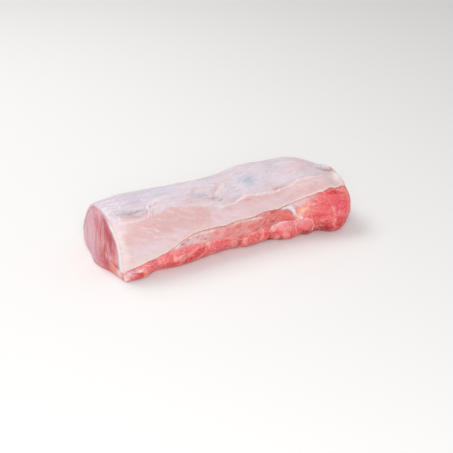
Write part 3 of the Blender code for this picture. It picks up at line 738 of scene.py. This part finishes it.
# Creases, sunk in the relief and darkened with painted shade: width, depth, points (x, s).
CREASES = (
    (0.8, 0.9, ((10, 13), (15, 12), (22, 11.8), (25, 8.5))),
    (0.8, 0.8, ((76, 9), (84, 12), (90, 13.5))),
    (0.8, 1, ((109.5, 24), (108.5, 19), (104.5, 14), (98, 10.5))),
    (0.7, 0.6, ((117, 22), (116, 15), (118, 8))), (0.7, 0.6, ((157, 19), (158, 14), (161, 9))),
    (0.8, 0.8, ((150, 25.2), (155, 22.4), (162, 20.6))),
    (0.8, 1, ((202, 25), (204, 21), (205.5, 14), (206, 7))),
    (1, 0.8, ((208, 27.5), (216, 30.5), (226, 31.8), (234, 32))),
    (0.9, 0.7, ((235, 38), (232, 43), (226, 45.3), (214, 46))),
    (1, 1.1, ((217, 12), (219, 9), (219, 5))), (0.8, 0.7, ((236.5, 22), (236.5, 16), (235, 9))),
    (0.9, 0.8, ((249, 14), (254, 11.5), (260, 11), (263, 8))),
    (0.9, 0.9, ((262, 27), (265.5, 21), (265.5, 13))),
    (0.7, 0.6, ((280, 22), (279, 16), (276, 11))), (0.8, 0.5, ((293, 35), (294, 27), (295, 19))),
)
# Lean features are placed where they show from the front left: a raised place shows further
# along the loin and lower than it lies, by these shares of its rise.
SHOWN_ALONG = 0.3
SHOWN_LOWER = 0.64
BETWEEN_BUNDLES = 0.6           # how deep the surface lies between the bundles
FLAP_RISE = 0.9
LEAN_WANDER = (((1.5, 7, 6, 0, 48),), ((1.2, 7, 6, 0, 49),))
LEAN_RELIEF = ((0.42, 5, 4, 0, 51),)
LEAN_SPECKS = ((0.24, 2.2, 1.9, 0, 54),)
FLAP_RELIEF = ((0.55, 6, 2, 52, 55),)
BACK_RELIEF = ((0.8, 15, 8, 0, 59), (0.6, 6, 4.5, 0, 57))
BACK_SPECKS = ((0.24, 2.2, 1.9, 0, 58),)
LEAN_PAINT_WANDER = (((0.9, 7, 6, 0, 61), (0.6, 1.8, 1.8, 0, 69, 1)),
                     ((0.7, 7, 6, 0, 62), (0.6, 1.8, 1.8, 0, 70, 1)))
HIDDEN_GRAINS = (
    ((12, 7, 0, 63), ("petal", 1, 0, 0.8)),
    ((11, 7, 0, 64), ("red", 0.8, 0, 0.8)),
    ((15, 3, 12, 72), ("salmon", 0.65, 0.1, 0.8), ("wine", 0.45, 0.2, 0.9)),
)
FLAP_STRANDS = (6.5, 1.3, 36, 71)   # a grain without a height
PALE_STRAND_FADE = (205, 222)   # x where the flap's pale strands start to fade and have faded
PALE_STRAND_LOSS = 0.556
FOOT_TO = (240, 228)            # x where the foot's strands end, and to where they are whole
FOOT_GRAINS = (((6, 1, -18, 73), ("shell", 0.26, 0.1, 0.8), ("cherry", 0.42, 0.15, 0.8)),)
FOOT_AGAIN = 0.35               # share of the marks that lies over the foot's strands
WEB = (6.5, 5, 66, 0.09)        # length and width of its meshes, seed, width of its threads
WEB_SHARE = (0.6, 0.25, 250, 262)   # at the left, less at the right, and x between the two
WEB_PLACES = (9, 9, 0, 67, 1)
WEB_BLEND = (-0.3, 0.6)
WEB_OFF_FLAP = 0.7              # how much less the web shows on the flap
FLECKS_OFF_FLAP = 0.4
# the pale shell flecks are partly pale specks of the meat, partly painted glints
FLECKS = (((1.7, 1.4, 0, 68), ("shell", 0.4, 0.25, 0.9), ("deep", 0.42, 0.25, 0.9)),)
CREASE_SHADE_SHARE = 0.5              # share of painted shade to a millimetre of depth
# The painted shadow under the fat's edge, a thin dark line: its fade, where it starts over the
# edge, its share, its further share at the left, and x where that ends and from where it is whole.
EDGE_SHADE = (0.8, -1, 0.15, 0.5, 75, 55)


def flap_mask(x, s):
    """1 on the fibrous flap under the fat, 0 below it and past its rounded end."""
    foot = np.interp(x, *np.array(FLAP_FOOT, float).T)
    tip_x, tip_s, above_lean, below_lean = FLAP_END
    end = tip_x - np.abs(s - tip_s) * above_lean - np.maximum(tip_s - s, 0) * below_lean
    ragged = rough(x, s, FLAP_RAGGED)
    shown = blend(s - foot + ragged, *FLAP_FOOT_FADE) * blend(end - x + ragged, *FLAP_END_FADE)
    return shown * blend(x, *FLAP_START)


def lumps(x, z):
    """Height of the part's own lumps and hollows."""
    rise = np.zeros(np.broadcast(x, z).shape)
    for sign, shapes in ((1, LUMPS), (-1, HOLLOWS)):
        for along, up, half_length, half_height, height in shapes:
            far = ((x - along) / half_length)**2 + ((z - up) / half_height)**2
            rise += sign * height * np.exp(-far)
    return rise


def bundles(x, s):
    """Height of the muscle bundles."""
    height = np.zeros(x.shape)
    for at_x, at_s, half_x, half_s, tilt, rise in BUNDLES:
        u, v = slanted(x - at_x, s - at_s, tilt, half_x, half_s)
        height = np.maximum(height, rise * np.sqrt(np.clip(1 - u * u - v * v, 0, 1)))
    return height


def lean_relief(x, s, z, g):
    """Height of the bare lean over the bare section, and where each place shows."""
    broad = lumps(x, z)
    x, s = x + SHOWN_ALONG * broad, s - SHOWN_LOWER * broad
    wx, ws = wander(x, s, *LEAN_WANDER)
    flap = flap_mask(x, s)
    own = (bundles(wx, ws) - BETWEEN_BUNDLES) * (1 - flap) + FLAP_RISE * flap
    fine = -EDGE_DIP * np.exp(-((fat_edge_height(x) - z) / EDGE_DIP_FADE)**2)
    fine += ridges(wx, ws, LEAN_LINES) - ridges(wx, ws, CREASES)
    fine += rough(wx, ws, LEAN_RELIEF) + rough(x, s, LEAN_SPECKS)
    fine += flap * rough(wx, ws, FLAP_RELIEF)
    a, b, c, d = BACK_WAVE_LENGTHS
    waves = BACK_WAVE * (np.sin(x / a + np.sin(x / b)) + np.sin(x / c - z / d) - 1)
    waves += rough(wx, ws, BACK_RELIEF) + rough(x, s, BACK_SPECKS)
    front = blend(g, *FRONT_G) * (broad + own + fine)
    back = blend(g, *BACK_G) * waves
    rise = np.where(g < CROWN_G, front, np.where(g < UNDER_G, back, 0))
    return rise, x + SHOWN_ALONG * own, s - SHOWN_LOWER * own


def lean_paint(x, s, z, g):
    """Colour of the bare lean."""
    wx, ws = wander(x, s, *LEAN_PAINT_WANDER)
    front = (g < CROWN_G).astype(float)
    paint = lay_grains(plain("flesh", x.shape), wx, ws, 1 - front, HIDDEN_GRAINS)
    paint = lay_marks(paint, LEAN_MARKS, wx, ws, front)
    flap = flap_mask(x, s) * front
    paint = lay_marks(lay(paint, "salmon", flap), FLAP_MARKS, wx, ws, flap)
    strand = grain(wx, ws, *FLAP_STRANDS)
    pale = flap * (1 - PALE_STRAND_LOSS * blend(x, *PALE_STRAND_FADE))
    paint = lay_heights(paint, strand, pale, ("pink", 0.45, 0.1, 0.8))
    paint = lay_heights(paint, -strand, flap, ("red", 0.26, 0.1, 0.8))
    foot = front * (1 - flap) * blend(x, *FOOT_TO)
    paint = lay_grains(paint, wx, ws, foot, FOOT_GRAINS)
    paint = lay_marks(paint, LEAN_MARKS, wx, ws, FOOT_AGAIN * foot)
    long, wide, seed, thread = WEB
    most, less, start, end = WEB_SHARE
    web = np.exp(-(cells(wx / long, ws / wide, seed) / thread)**2)
    shown = blend(grain(x, s, *WEB_PLACES), *WEB_BLEND) * (1 - WEB_OFF_FLAP * flap)
    paint = lay(paint, "shell", (most - less * blend(x, start, end)) * web * shown)
    paint = lay_grains(paint, x, s, 1 - FLECKS_OFF_FLAP * flap, FLECKS)
    paint = lay_lines(paint, LEAN_LINES, wx, ws, front)
    # Painted shade: each crease is darkened with wine by its depth.
    for width, depth, points in CREASES:
        paint = lay(paint, "wine", front * CREASE_SHADE_SHARE * depth * stroke(wx, ws, width, points))
    # Painted shadow: a thin dark line just under the fat's front edge, stronger at the left.
    fade, start, share, more, end_x, whole_x = EDGE_SHADE
    below = fat_edge_height(x) - z
    under = np.exp(-np.maximum(below, 0) / fade) * front * (below > start)
    return lay(paint, "vein", under * (share + more * blend(x, end_x, whole_x)))


# ---------------- the cut faces

FACE_STREAK_LEAN = 0.27         # how far the streaks lean, in y for z
FACE_WANDER = (((1.3, 7, 12, 0, 84),), ((1.5, 7, 12, 0, 85),))
FACE_BEND = ((0.4, 20, 20, 0, 86, 1),)
FACE_STREAKS = ((3.4, 22, 82, 1), (2.2, 30, 87, 1), (1.5, 11, 83, 0))   # width, length, seed, bent
FACE_AGAIN = 0.65               # share of the marks that lies over the first streaks
PALE_FROM = (20, 42)            # where the face's paler side starts and is whole; its lavender is partly the meat's own, partly painted sheen
STRAND_SHARE = 0.25             # share of the strands that shows on the darker side
DARK_LOSS = 0.35                # how much weaker the dark fibres are on the paler side
FACE_RELIEF = ((0.5, 4, 24, 0, 91), (0.25, 1.8, 12, 0, 92))
FACE_LIFT = 0.3
FACE_RIM = (1, 0.94)            # shares of the way out between which the relief starts
# Patches of colour: y, z, half width, half height, colour, share and perhaps a tilt. The orchid and
# heather lavender is partly the cut meat's own colour and partly its sheen, painted.
FACE_MARKS = (
    (80, 35, 22, 42, "orchid", 0.9, -10), (94, 28, 6, 24, "pink", 0.4),
    (68, 46, 10, 16, "orchid", 0.8, -12), (48, 24, 6, 18, "heather", 0.9, -10),
    (58, 20, 7, 6, "orchid", 0.7), (41, 30, 4.5, 14, "buff", 0.6, -14),
    (67, 9, 18, 6, "orchid", 0.7), (51, 71, 9, 3.5, "orchid", 0.85, 10),
    (52, 57, 7, 7, "cherry", 0.75), (45, 48, 6, 6, "cherry", 0.75),
    (36, 60, 5, 9, "garnet", 0.95, -28), (30, 50, 5.5, 9, "garnet", 0.95, -28),
    (22, 46, 3.5, 6, "garnet", 0.75, -30), (96, 40, 3, 24, "shell", 0.6, 24),
    (19, 46, 1.6, 6, "violet", 0.7, -25), (15.5, 36, 1.6, 6, "cherry", 0.8, -12),
    (22.5, 34, 2.4, 9, "garnet", 0.9, -8), (28, 32, 1.5, 7, "dusty", 0.7, -10),
    (31.5, 26, 2.2, 9, "garnet", 0.85, -8), (33, 36, 7, 12, "cherry", 0.35, -10),
    (17, 28, 4, 9, "cherry", 0.35, -8), (39, 35, 4, 4, "heather", 0.8),
    (36, 14, 4, 6, "cherry", 0.85, -5), (28, 10, 4.5, 8, "garnet", 0.85),
    (20, 20, 1.6, 6, "salmon", 0.8, -8), (16, 15, 2.6, 6, "coral", 0.8),
    (17, 7, 4.5, 6, "coral", 0.9), (28, 2, 6, 3, "brick", 0.8), (6, 5, 5, 6, "milk", 0.8),
)
# The fat where it is cut: its grain, its white outside and its rosy inside.
RIM_GRAINS = (((6, 9, 0, 95), ("pink", 0.4, 0, 0.8)),)
RIM_LAYERS = (("white", 0.85, 0.85, 0.35), ("dusty", 0.6, 0.8, 1))
RIM_HAZE = 0.4                  # share of pink over meat that shows at the rim
RIM_FADE = 8.0
RIM_RELIEF = ((0.25, 4, 4, 0, 97),)
RIM_SWELL = 0.5
INSIDE_SHARE = 0.7              # the fat's hidden inside is painted as this far in


def face_paint(y, z):
    """Colour of a cut face."""
    wy, wz = wander(y, z, *FACE_WANDER)
    along = y - FACE_STREAK_LEAN * z
    pale = blend(along, *PALE_FROM)
    bend = rough(y, z, FACE_BEND)
    streak, strand, fine = (layers(along / width + bent * bend, z / length, seed=seed)
                            for width, length, seed, bent in FACE_STREAKS)
    paint = lay_marks(plain("dusty", y.shape), FACE_MARKS, wy, wz)
    paint = lay_heights(paint, streak, 1, ("pink", 0.42, 0.1, 0.8), ("cherry", 0.5, 0.1, 0.8))
    paint = lay_marks(paint, FACE_MARKS, wy, wz, FACE_AGAIN)
    paint = lay_heights(paint, strand, STRAND_SHARE + (1 - STRAND_SHARE) * pale,
                        ("blush", 0.45, 0.1, 0.8), ("heather", 0.6, 0.05, 0.7))
    paint = lay_heights(paint, fine, 1, ("blush", 0.4, 0.15, 0.8))
    return lay_heights(paint, -fine, 1 - DARK_LOSS * pale, ("garnet", 0.54, 0.15, 0.8))


def rim_paint(y, z, share):
    """Colour of the fat where it is cut, from its outside to its inside."""
    paint = lay_grains(plain("blush", share.shape), y, z, 1, RIM_GRAINS)
    for colour in RIM_LAYERS:
        paint = lay_heights(paint, share, 1, colour)
    meat = blend(y, RIM_WHITE_TO - RIM_FADE, RIM_WHITE_TO + RIM_FADE)[..., None]
    return paint * (1 - meat) + lay(face_paint(y, z), "pink", RIM_HAZE + 0 * y) * meat


# ---------------- meshes

def stations(count):
    """Values of t in a column, closer together where the cuts are rounded."""
    turns = [np.linspace(0, np.pi / 2, steps) for steps in END_STATIONS]
    near_left = LEFT_ROUND[1] * (1 - np.cos(turns[0]))
    near_right = LENGTH - RIGHT_ROUND[1] * (1 - np.sin(turns[1]))
    evenly = np.linspace(near_left[-1], near_right[0], count)
    return np.concatenate([near_left[:-1], evenly, near_right[1:]])[:, None] / LENGTH


def fat_edge_height(x):
    """Height of the fat's front edge."""
    return line(x, FAT_FRONT) + RAGGED * layers(x / RAGGED_LENGTH, 0 * x, seed=1)


def edge_g(t):
    """Columns of g at the fat's front and back edges."""
    front = np.linspace(EDGE_REACH[0], CROWN_G, EDGE_SAMPLES)
    back = np.linspace(CROWN_G, EDGE_REACH[1], EDGE_SAMPLES)
    x = LENGTH * t
    height = line(x, HEIGHT)
    front_g = np.interp(fat_edge_height(x) / height, shares(front)[1], front)
    back_height = line(x, FAT_BACK) + RAGGED * layers(x / RAGGED_LENGTH, 0 * x, seed=2)
    back_g = np.interp(-back_height / height, -shares(back)[1], back)
    return front_g, back_g


def arcs(t):
    """g from the front foot to the back foot at each t, and each place's distance s."""
    g = np.linspace(0, UNDER_G, ARC_SAMPLES) + 0 * t
    y, z = section(t, g)
    steps = np.hypot(np.diff(y), np.diff(z))
    s = np.concatenate([0 * t, np.cumsum(steps, axis=1)], axis=1)
    return g, s - between(FOOT_G + 0 * t, g, s)


def between(value, at, to):
    """Values between the points of tables, one table to a row."""
    return np.array([np.interp(*row) for row in zip(value, at, to)])


def grid(count):
    """Stations, tables of g and s, and g and s of the fat's front and back edges."""
    t = stations(count)
    all_g, all_s = arcs(t)
    edges = edge_g(t)
    return t, all_g, all_s, edges, [between(edge, all_g, all_s) for edge in edges]


def add_object(name, data):
    """New object in the scene."""
    item = bpy.data.objects.new(name, data)
    bpy.context.scene.collection.objects.link(item)
    return item


def closed_mesh(name, points, faces, paint):
    """Mesh object of a closed surface, in metres, with its paint as a colour attribute."""
    mesh = bpy.data.meshes.new(name)
    mesh.vertices.add(len(points))
    mesh.vertices.foreach_set("co", points.astype(np.float32).ravel())
    corners = np.concatenate([face.ravel() for face in faces])
    sizes = np.concatenate([np.full(len(face), face.shape[1]) for face in faces])
    mesh.loops.add(len(corners))
    mesh.loops.foreach_set("vertex_index", corners.astype(np.int32))
    mesh.polygons.add(len(sizes))
    mesh.polygons.foreach_set("loop_start", (np.cumsum(sizes) - sizes).astype(np.int32))
    mesh.update(calc_edges=True)
    mesh.validate()
    mesh.shade_smooth()
    layer = mesh.color_attributes.new("paint", "FLOAT_COLOR", "POINT")
    layer.data.foreach_set("color", np.c_[paint, np.ones(len(paint))].astype(np.float32).ravel())
    return add_object(name, mesh)


def strips(rows):
    """Faces between rows of point numbers that lie one after another.

    Where a row names a point twice in a run, the quad there is a triangle.
    """
    corners = (rows[:-1, :-1], rows[1:, :-1], rows[1:, 1:], rows[:-1, 1:])
    a, b, c, d = (corner.ravel() for corner in corners)
    quads = np.stack([a, b, c, d], axis=-1)
    no_end, no_start = b == c, a == d
    return [quads[~no_end & ~no_start], quads[no_end & ~no_start][:, [0, 1, 3]],
            quads[no_start & ~no_end][:, :3]]


def closed(rows):
    """Rows of point numbers that each end where they start."""
    return np.concatenate([rows, rows[:, :1]], axis=1)


def fat_steps(start, end):
    """Distances over the fat in each row, closer together where its edges are rounded."""
    near = FAT_EDGE_ROUND * (1 - np.cos(np.linspace(0, np.pi / 2, FAT_EDGE_STEPS + 1)))[:-1]
    share = np.linspace(0, 1, FAT_STEPS + 1)
    middle = start + FAT_EDGE_ROUND + (end - start - 2 * FAT_EDGE_ROUND) * share
    return np.concatenate([start + near, middle, end - near[::-1]], axis=1)


def make_fat():
    """Points, faces and paint of the fat cap."""
    t, all_g, all_s, (front_g, back_g), (start, end) = grid(FAT_STATIONS)
    s = fat_steps(start, end)
    g = between(s, all_s, all_g)
    x = LENGTH * t + 0 * s
    z = section(t, g)[1]
    share = (g - front_g) / (back_g - front_g)
    near = np.minimum(s - start, end - s)
    drop = 1 - np.sqrt(1 - np.clip(1 - near / FAT_EDGE_ROUND, 0, 1)**2)
    depth = EDGE_DEPTH * np.minimum(fat_thickness(t, share), FAT_EDGE_ROUND)
    rise = fat_relief(x, s, z, g) * (1 - drop) - depth * drop
    outside = raised(t, g, rise)
    inner_share = np.linspace(1, 0, FAT_INSIDE_STEPS + 1) + 0 * t
    inner_g = front_g + (back_g - front_g) * inner_share
    inside = raised(t, inner_g, -fat_thickness(t, inner_share))
    rings = np.concatenate([outside, inside], axis=1)
    cut = rim_paint(inside[..., 1], inside[..., 2], INSIDE_SHARE + 0 * inner_g)
    paints = np.concatenate([fat_paint(x, s, z, g, near), cut], axis=1)
    count, size = rings.shape[:2]
    points, colours = [rings.reshape(-1, 3)], [paints.reshape(-1, 3)]
    total = count * size
    faces = strips(closed(np.arange(total).reshape(count, size)))
    out_at = np.arange(outside.shape[1])
    in_at = size - 1 - np.round(out_at / out_at[-1] * FAT_INSIDE_STEPS).astype(int)
    for row, end_t, side in ((0, 0.0, -1), (count - 1, 1.0, 1)):
        outer, inner = rings[row][out_at], rings[row][in_at]
        w = np.linspace(0, 1, RIM_STEPS + 1)[1:-1, None]
        y, z = (outer[:, i] * (1 - w) + inner[:, i] * w for i in (1, 2))
        cut_points = place(end_t, y, z)
        cut_points[..., 0] += side * (RIM_SWELL * np.sin(np.pi * w) + rough(y, z, RIM_RELIEF))
        points.append(cut_points.reshape(-1, 3))
        colours.append(rim_paint(y, z, w + 0 * y).reshape(-1, 3))
        middle = total + np.arange(y.size).reshape(y.shape)
        total += y.size
        rows = np.concatenate([[row * size + out_at], middle, [row * size + in_at]])
        sides = np.array([rows[:, 0], rows[::-1, -1]])
        faces += strips(rows[::-1]) + [sides] if side < 0 else strips(rows) + [sides[:, ::-1]]
    return np.concatenate(points), faces, np.concatenate(colours)


def cut_face(ring, dome, side):
    """Rings that close a cut face, from its rim inwards to its middle, and their paint."""
    middle = ring.mean(axis=0)
    keep = 1 - np.arange(1, CAP_RINGS + 2)[:, None] / (CAP_RINGS + 1)
    y = middle[1] + (ring[None, :, 1] - middle[1]) * keep
    z = middle[2] + (ring[None, :, 2] - middle[2]) * keep
    points = place(0.0 if side < 0 else 1.0, y, z)
    along = y - FACE_STREAK_LEAN * z
    relief = blend(keep, *FACE_RIM) * (rough(along, z, FACE_RELIEF) + FACE_LIFT)
    points[..., 0] += side * (dome * (1 - keep**2) + relief)
    return points, face_paint(y, z)


def make_lean():
    """Points, faces and paint of the lean."""
    under_steps, back_steps, foot_steps, front_steps = LEAN_STEPS
    t, all_g, all_s, (front_g, back_g), (front_s, back_s) = grid(LEAN_STATIONS)
    covered_s = front_s + (back_s - front_s) * np.linspace(0, 1, under_steps + 1)
    covered = between(covered_s, all_s, all_g)
    share = (covered - front_g) / (back_g - front_g)
    under_fat = raised(t, covered, -fat_thickness(t, share) - GAP)
    back_share = np.linspace(0, 1, back_steps, endpoint=False)[1:]
    back_at = back_s + (all_s[:, -1:] - back_s) * back_share
    front_share = np.linspace(0, 1, front_steps, endpoint=False)
    front_at = all_s[:, :1] + (front_s - all_s[:, :1]) * front_share
    foot = np.linspace(UNDER_G, TURN, foot_steps, endpoint=False) + 0 * t
    g = np.concatenate([between(back_at, all_s, all_g), foot, between(front_at, all_s, all_g)], axis=1)
    s = np.concatenate([back_at, 0 * foot, front_at], axis=1)
    x = LENGTH * t + 0 * g
    z = section(t, g)[1]
    rise, shown_x, shown_s = lean_relief(x, s, z, g)
    rings = np.concatenate([under_fat, raised(t, g, rise)], axis=1)
    paints = np.concatenate([face_paint(under_fat[..., 1], under_fat[..., 2]),
                             lean_paint(shown_x, shown_s, z, g)], axis=1)
    size = rings.shape[1]
    left, left_paint = cut_face(rings[0], LEFT_DOME, -1)
    right, right_paint = cut_face(rings[-1], RIGHT_DOME, 1)
    # Of the loft's sections between the first and the last, only every few points are kept
    # under the fat, where nothing shows.
    kept = np.concatenate([np.arange(0, under_steps, UNDER_SKIP), np.arange(under_steps, size)])
    nearest = np.searchsorted(kept, np.arange(size), side="right") - 1
    # The last ring of each face is one point, its middle.
    points = [left[:-1][::-1], rings[:1], rings[1:-1, kept], rings[-1:], right[:-1],
              left[-1:, :1], right[-1:, :1]]
    colours = [left_paint[:-1][::-1], paints[:1], paints[1:-1, kept], paints[-1:], right_paint[:-1],
               left_paint[-1:, :1], right_paint[-1:, :1]]
    start, rows = 0, []
    for block in points:
        rows.append(start + np.arange(block.shape[0] * block.shape[1]).reshape(block.shape[:2]))
        start += rows[-1].size
    cap, first, fewer, last, far_cap, middle, far_middle = rows
    groups = (
        (np.repeat(middle, size, axis=1), cap, first),
        (first, fewer[:1, nearest]),
        (fewer,),
        (fewer[-1:, nearest], last),
        (last, far_cap, np.repeat(far_middle, size, axis=1)),
    )
    faces = []
    for group in groups:
        faces += strips(closed(np.concatenate(group)))
    points, colours = ([part.reshape(-1, 3) for part in parts] for parts in (points, colours))
    return np.concatenate(points), faces, np.concatenate(colours)


# ---------------- materials

FINE_SIZE = 0.0011              # size of the finest noise, in metres
FINE_DETAIL = 3
FLECK_DETAIL = 2
OTHER_SIZE = 1.27               # size of the dark flecks, in sizes of the pale ones
FINE_RANGE = (0.3, 0.7)         # values of the noises between which they take effect
PALE_RANGE = (0.54, 0.72)
DARK_RANGE = (0.46, 0.28)
BUMP_STRENGTH = 0.6
SPECULAR = 0.35
SOFT_COLOURS = (1.0, 0.6, 0.5)  # how far red, green and blue light spread under the surface
COAT_ROUGHNESS = 0.12
# Flecks are a size in metres and the shares of the pale and the dark ones. The lean's pale flecks are
# painted glints.
LEAN_LOOK = {
    "pale": "milk", "dark": "deep", "flecks": (0.0017, 0.20, 0.15), "shade": (0.95, 1.04),
    "stretch": (1, 1, 1), "roughness": (0.25, 0.5), "soft": 0.12, "coat": 0.35, "bump": 0.0005,
}
FAT_LOOK = {
    "pale": "white", "dark": "plum", "flecks": (0.0030, 0.09, 0.07), "shade": (0.98, 1.015),
    "stretch": (3, 1, 1), "roughness": (0.3, 0.5), "soft": 0.3, "coat": 0.2, "bump": 0.0003,
}


def set_sockets(tree, node, values=(), links=()):
    """The node, with its sockets' own values set and other sockets linked to them."""
    for name, value in values:
        node.inputs[name].default_value = value
    for name, source in links:
        tree.links.new(source, node.inputs[name])
    return node


def add_node(tree, kind, values=(), links=(), **settings):
    """New node with its settings, values and links."""
    node = tree.nodes.new(kind)
    for name, value in settings.items():
        setattr(node, name, value)
    return set_sockets(tree, node, values, links)


def ramp(tree, source, start, end, low, high):
    """Socket that goes from low to high while the source goes from start to end."""
    values = (("From Min", start), ("From Max", end), ("To Min", low), ("To Max", high))
    node = add_node(tree, "ShaderNodeMapRange", values, [("Value", source)],
                    interpolation_type="SMOOTHSTEP")
    return node.outputs["Result"]


def noise_socket(tree, at, size, detail, stretch):
    """Noise with bumps of about the given size in metres, stretched along the axes."""
    scale = tuple(1 / (size * part) for part in stretch)
    mapping = add_node(tree, "ShaderNodeMapping", [("Scale", scale)], [("Vector", at)])
    node = add_node(tree, "ShaderNodeTexNoise", (("Scale", 1.0), ("Detail", detail)),
                    [("Vector", mapping.outputs["Vector"])])
    return node.outputs["Fac"]


def tint(tree, colour, name, factor):
    """Colour socket with a named colour mixed in by the factor."""
    mix = add_node(tree, "ShaderNodeMix", data_type="RGBA")
    sockets = {socket.identifier: socket for socket in (*mix.inputs, *mix.outputs)}
    tree.links.new(factor, sockets["Factor_Float"])
    tree.links.new(colour, sockets["A_Color"])
    sockets["B_Color"].default_value = (*linear(name), 1)
    return sockets["Result_Color"]


def moist_material(name, pale, dark, flecks, shade, stretch, roughness, soft, coat, bump):
    """Painted, slightly see-through material with flecks, fine grain and a moist gloss; its pale flecks
    are painted glints on the lean.
    """
    material = bpy.data.materials.new(name)
    material.use_nodes = True
    tree = material.node_tree
    at = add_node(tree, "ShaderNodeTexCoord").outputs["Object"]
    size, pale_share, dark_share = flecks
    fine = noise_socket(tree, at, FINE_SIZE, FINE_DETAIL, stretch)
    coarse = noise_socket(tree, at, size, FLECK_DETAIL, stretch)
    other = noise_socket(tree, at, size * OTHER_SIZE, FLECK_DETAIL, stretch)
    colour = add_node(tree, "ShaderNodeAttribute", attribute_name="paint").outputs["Color"]
    colour = tint(tree, colour, pale, ramp(tree, coarse, *PALE_RANGE, 0, pale_share))
    colour = tint(tree, colour, dark, ramp(tree, other, *DARK_RANGE, 0, dark_share))
    shaded = add_node(tree, "ShaderNodeVectorMath", operation="SCALE", links=(
        ("Vector", colour), ("Scale", ramp(tree, fine, *FINE_RANGE, *shade))))
    height = add_node(tree, "ShaderNodeMath", operation="ADD", links=((0, fine), (1, coarse)))
    uneven = add_node(tree, "ShaderNodeBump", (("Strength", BUMP_STRENGTH), ("Distance", bump)),
                      [("Height", height.outputs["Value"])])
    set_sockets(tree, tree.nodes["Principled BSDF"], values=(
        ("Subsurface Weight", soft), ("Subsurface Radius", SOFT_COLOURS),
        ("Subsurface Scale", SOFT_REACH), ("Specular IOR Level", SPECULAR),
        ("Coat Weight", coat), ("Coat Roughness", COAT_ROUGHNESS),
    ), links=(
        ("Base Color", shaded.outputs["Vector"]), ("Normal", uneven.outputs["Normal"]),
        ("Roughness", ramp(tree, fine, *FINE_RANGE, *roughness)),
    ))
    return material


# ---------------- the scene

PIECES = (
    # name, slot, the part's node that it replaces, what makes it, and its look
    ("lean_meat", "lean", "lean_loin", make_lean, LEAN_LOOK),
    ("fat_layer", "fat", "fat_cap", make_fat, FAT_LOOK),
)
CAMERA_AT = (-299.1, -794.9, 553.8)   # in the loin's own millimetres
CAMERA_TURN = 28.811818               # degrees from +Y towards +X
CAMERA_PITCH = 29.41125
CAMERA_ROLL = 2.130025
CAMERA_LENS = 66.86
CAMERA_SENSOR = 36
CAMERA_FROM = 0.05                    # nothing nearer is shown, in metres
ORIGIN = (155.804, 53.897, 0.0)       # the part's own zero, in the loin's millimetres
FLOOR_REACH = 3.0
FLOOR_COLOUR = (0.80, 0.79, 0.78, 1)
FLOOR_ROUGHNESS = 0.7
LAMPS = (
    # name, place in metres, size, power
    ("key", (-0.5, 0.9, 1.5), 0.9, 14.5),
    ("fill", (-0.6, -1.2, 0.9), 0.9, 12.5),
)
ROOM_COLOUR = (1, 1, 1, 1)
ROOM_STRENGTH = 0.58


def axes_at(at, right, up, back):
    """Matrix that places a lamp or camera and turns its axes."""
    return Matrix([[right[i], up[i], back[i], at[i]] for i in range(3)] + [[0, 0, 0, 1]])


def add_camera():
    """Camera at the photo's viewing angle."""
    turn, pitch, roll = np.radians((CAMERA_TURN, CAMERA_PITCH, CAMERA_ROLL))
    ahead = np.array([np.sin(turn) * np.cos(pitch), np.cos(turn) * np.cos(pitch), -np.sin(pitch)])
    level = np.array([np.cos(turn), -np.sin(turn), 0])
    upright = np.cross(level, ahead)
    right = np.cos(roll) * level + np.sin(roll) * upright
    up = np.cos(roll) * upright - np.sin(roll) * level
    data = bpy.data.cameras.new("camera")
    data.lens = CAMERA_LENS
    data.sensor_width = CAMERA_SENSOR
    data.clip_start = CAMERA_FROM
    camera = add_object("camera", data)
    camera.matrix_world = axes_at((np.array(CAMERA_AT) - ORIGIN) * MM, right, up, -ahead)
    bpy.context.scene.camera = camera


def add_floor():
    """Plain pale floor."""
    mesh = bpy.data.meshes.new("floor")
    corners = [(x * FLOOR_REACH, y * FLOOR_REACH, 0) for x, y in ((-1, -1), (1, -1), (1, 1), (-1, 1))]
    mesh.from_pydata(corners, [], [(0, 1, 2, 3)])
    material = bpy.data.materials.new("floor")
    material.use_nodes = True
    tree = material.node_tree
    set_sockets(tree, tree.nodes["Principled BSDF"],
                (("Base Color", FLOOR_COLOUR), ("Roughness", FLOOR_ROUGHNESS)))
    mesh.materials.append(material)
    floor = add_object("floor", mesh)


def add_lamp(name, at, size, power):
    """Square lamp that shines at the loin."""
    data = bpy.data.lights.new(name, "AREA")
    data.size = size
    data.energy = power
    back = np.array(at) / np.linalg.norm(at)
    right = np.cross((0, 0, 1), back)
    right = right / np.linalg.norm(right)
    add_object(name, data).matrix_world = axes_at(at, right, np.cross(back, right), back)


def add_room():
    """Even white light from all round."""
    world = bpy.data.worlds.new("world")
    world.use_nodes = True
    tree = world.node_tree
    set_sockets(tree, tree.nodes["Background"],
                (("Color", ROOM_COLOUR), ("Strength", ROOM_STRENGTH)))
    bpy.context.scene.world = world
    bpy.context.scene.view_settings.view_transform = "Standard"


def main():
    """Build the loin, its camera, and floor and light."""
    for name, slot, node, make, look in PIECES:
        points, faces, paint = make()
        piece = closed_mesh(name, (points - ORIGIN) * MM, faces, paint)
        piece.data.materials.append(moist_material(slot, **look))
        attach(piece, "root")
        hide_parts(node)
    add_camera()
    add_floor()
    for lamp in LAMPS:
        add_lamp(*lamp)
    add_room()


main()
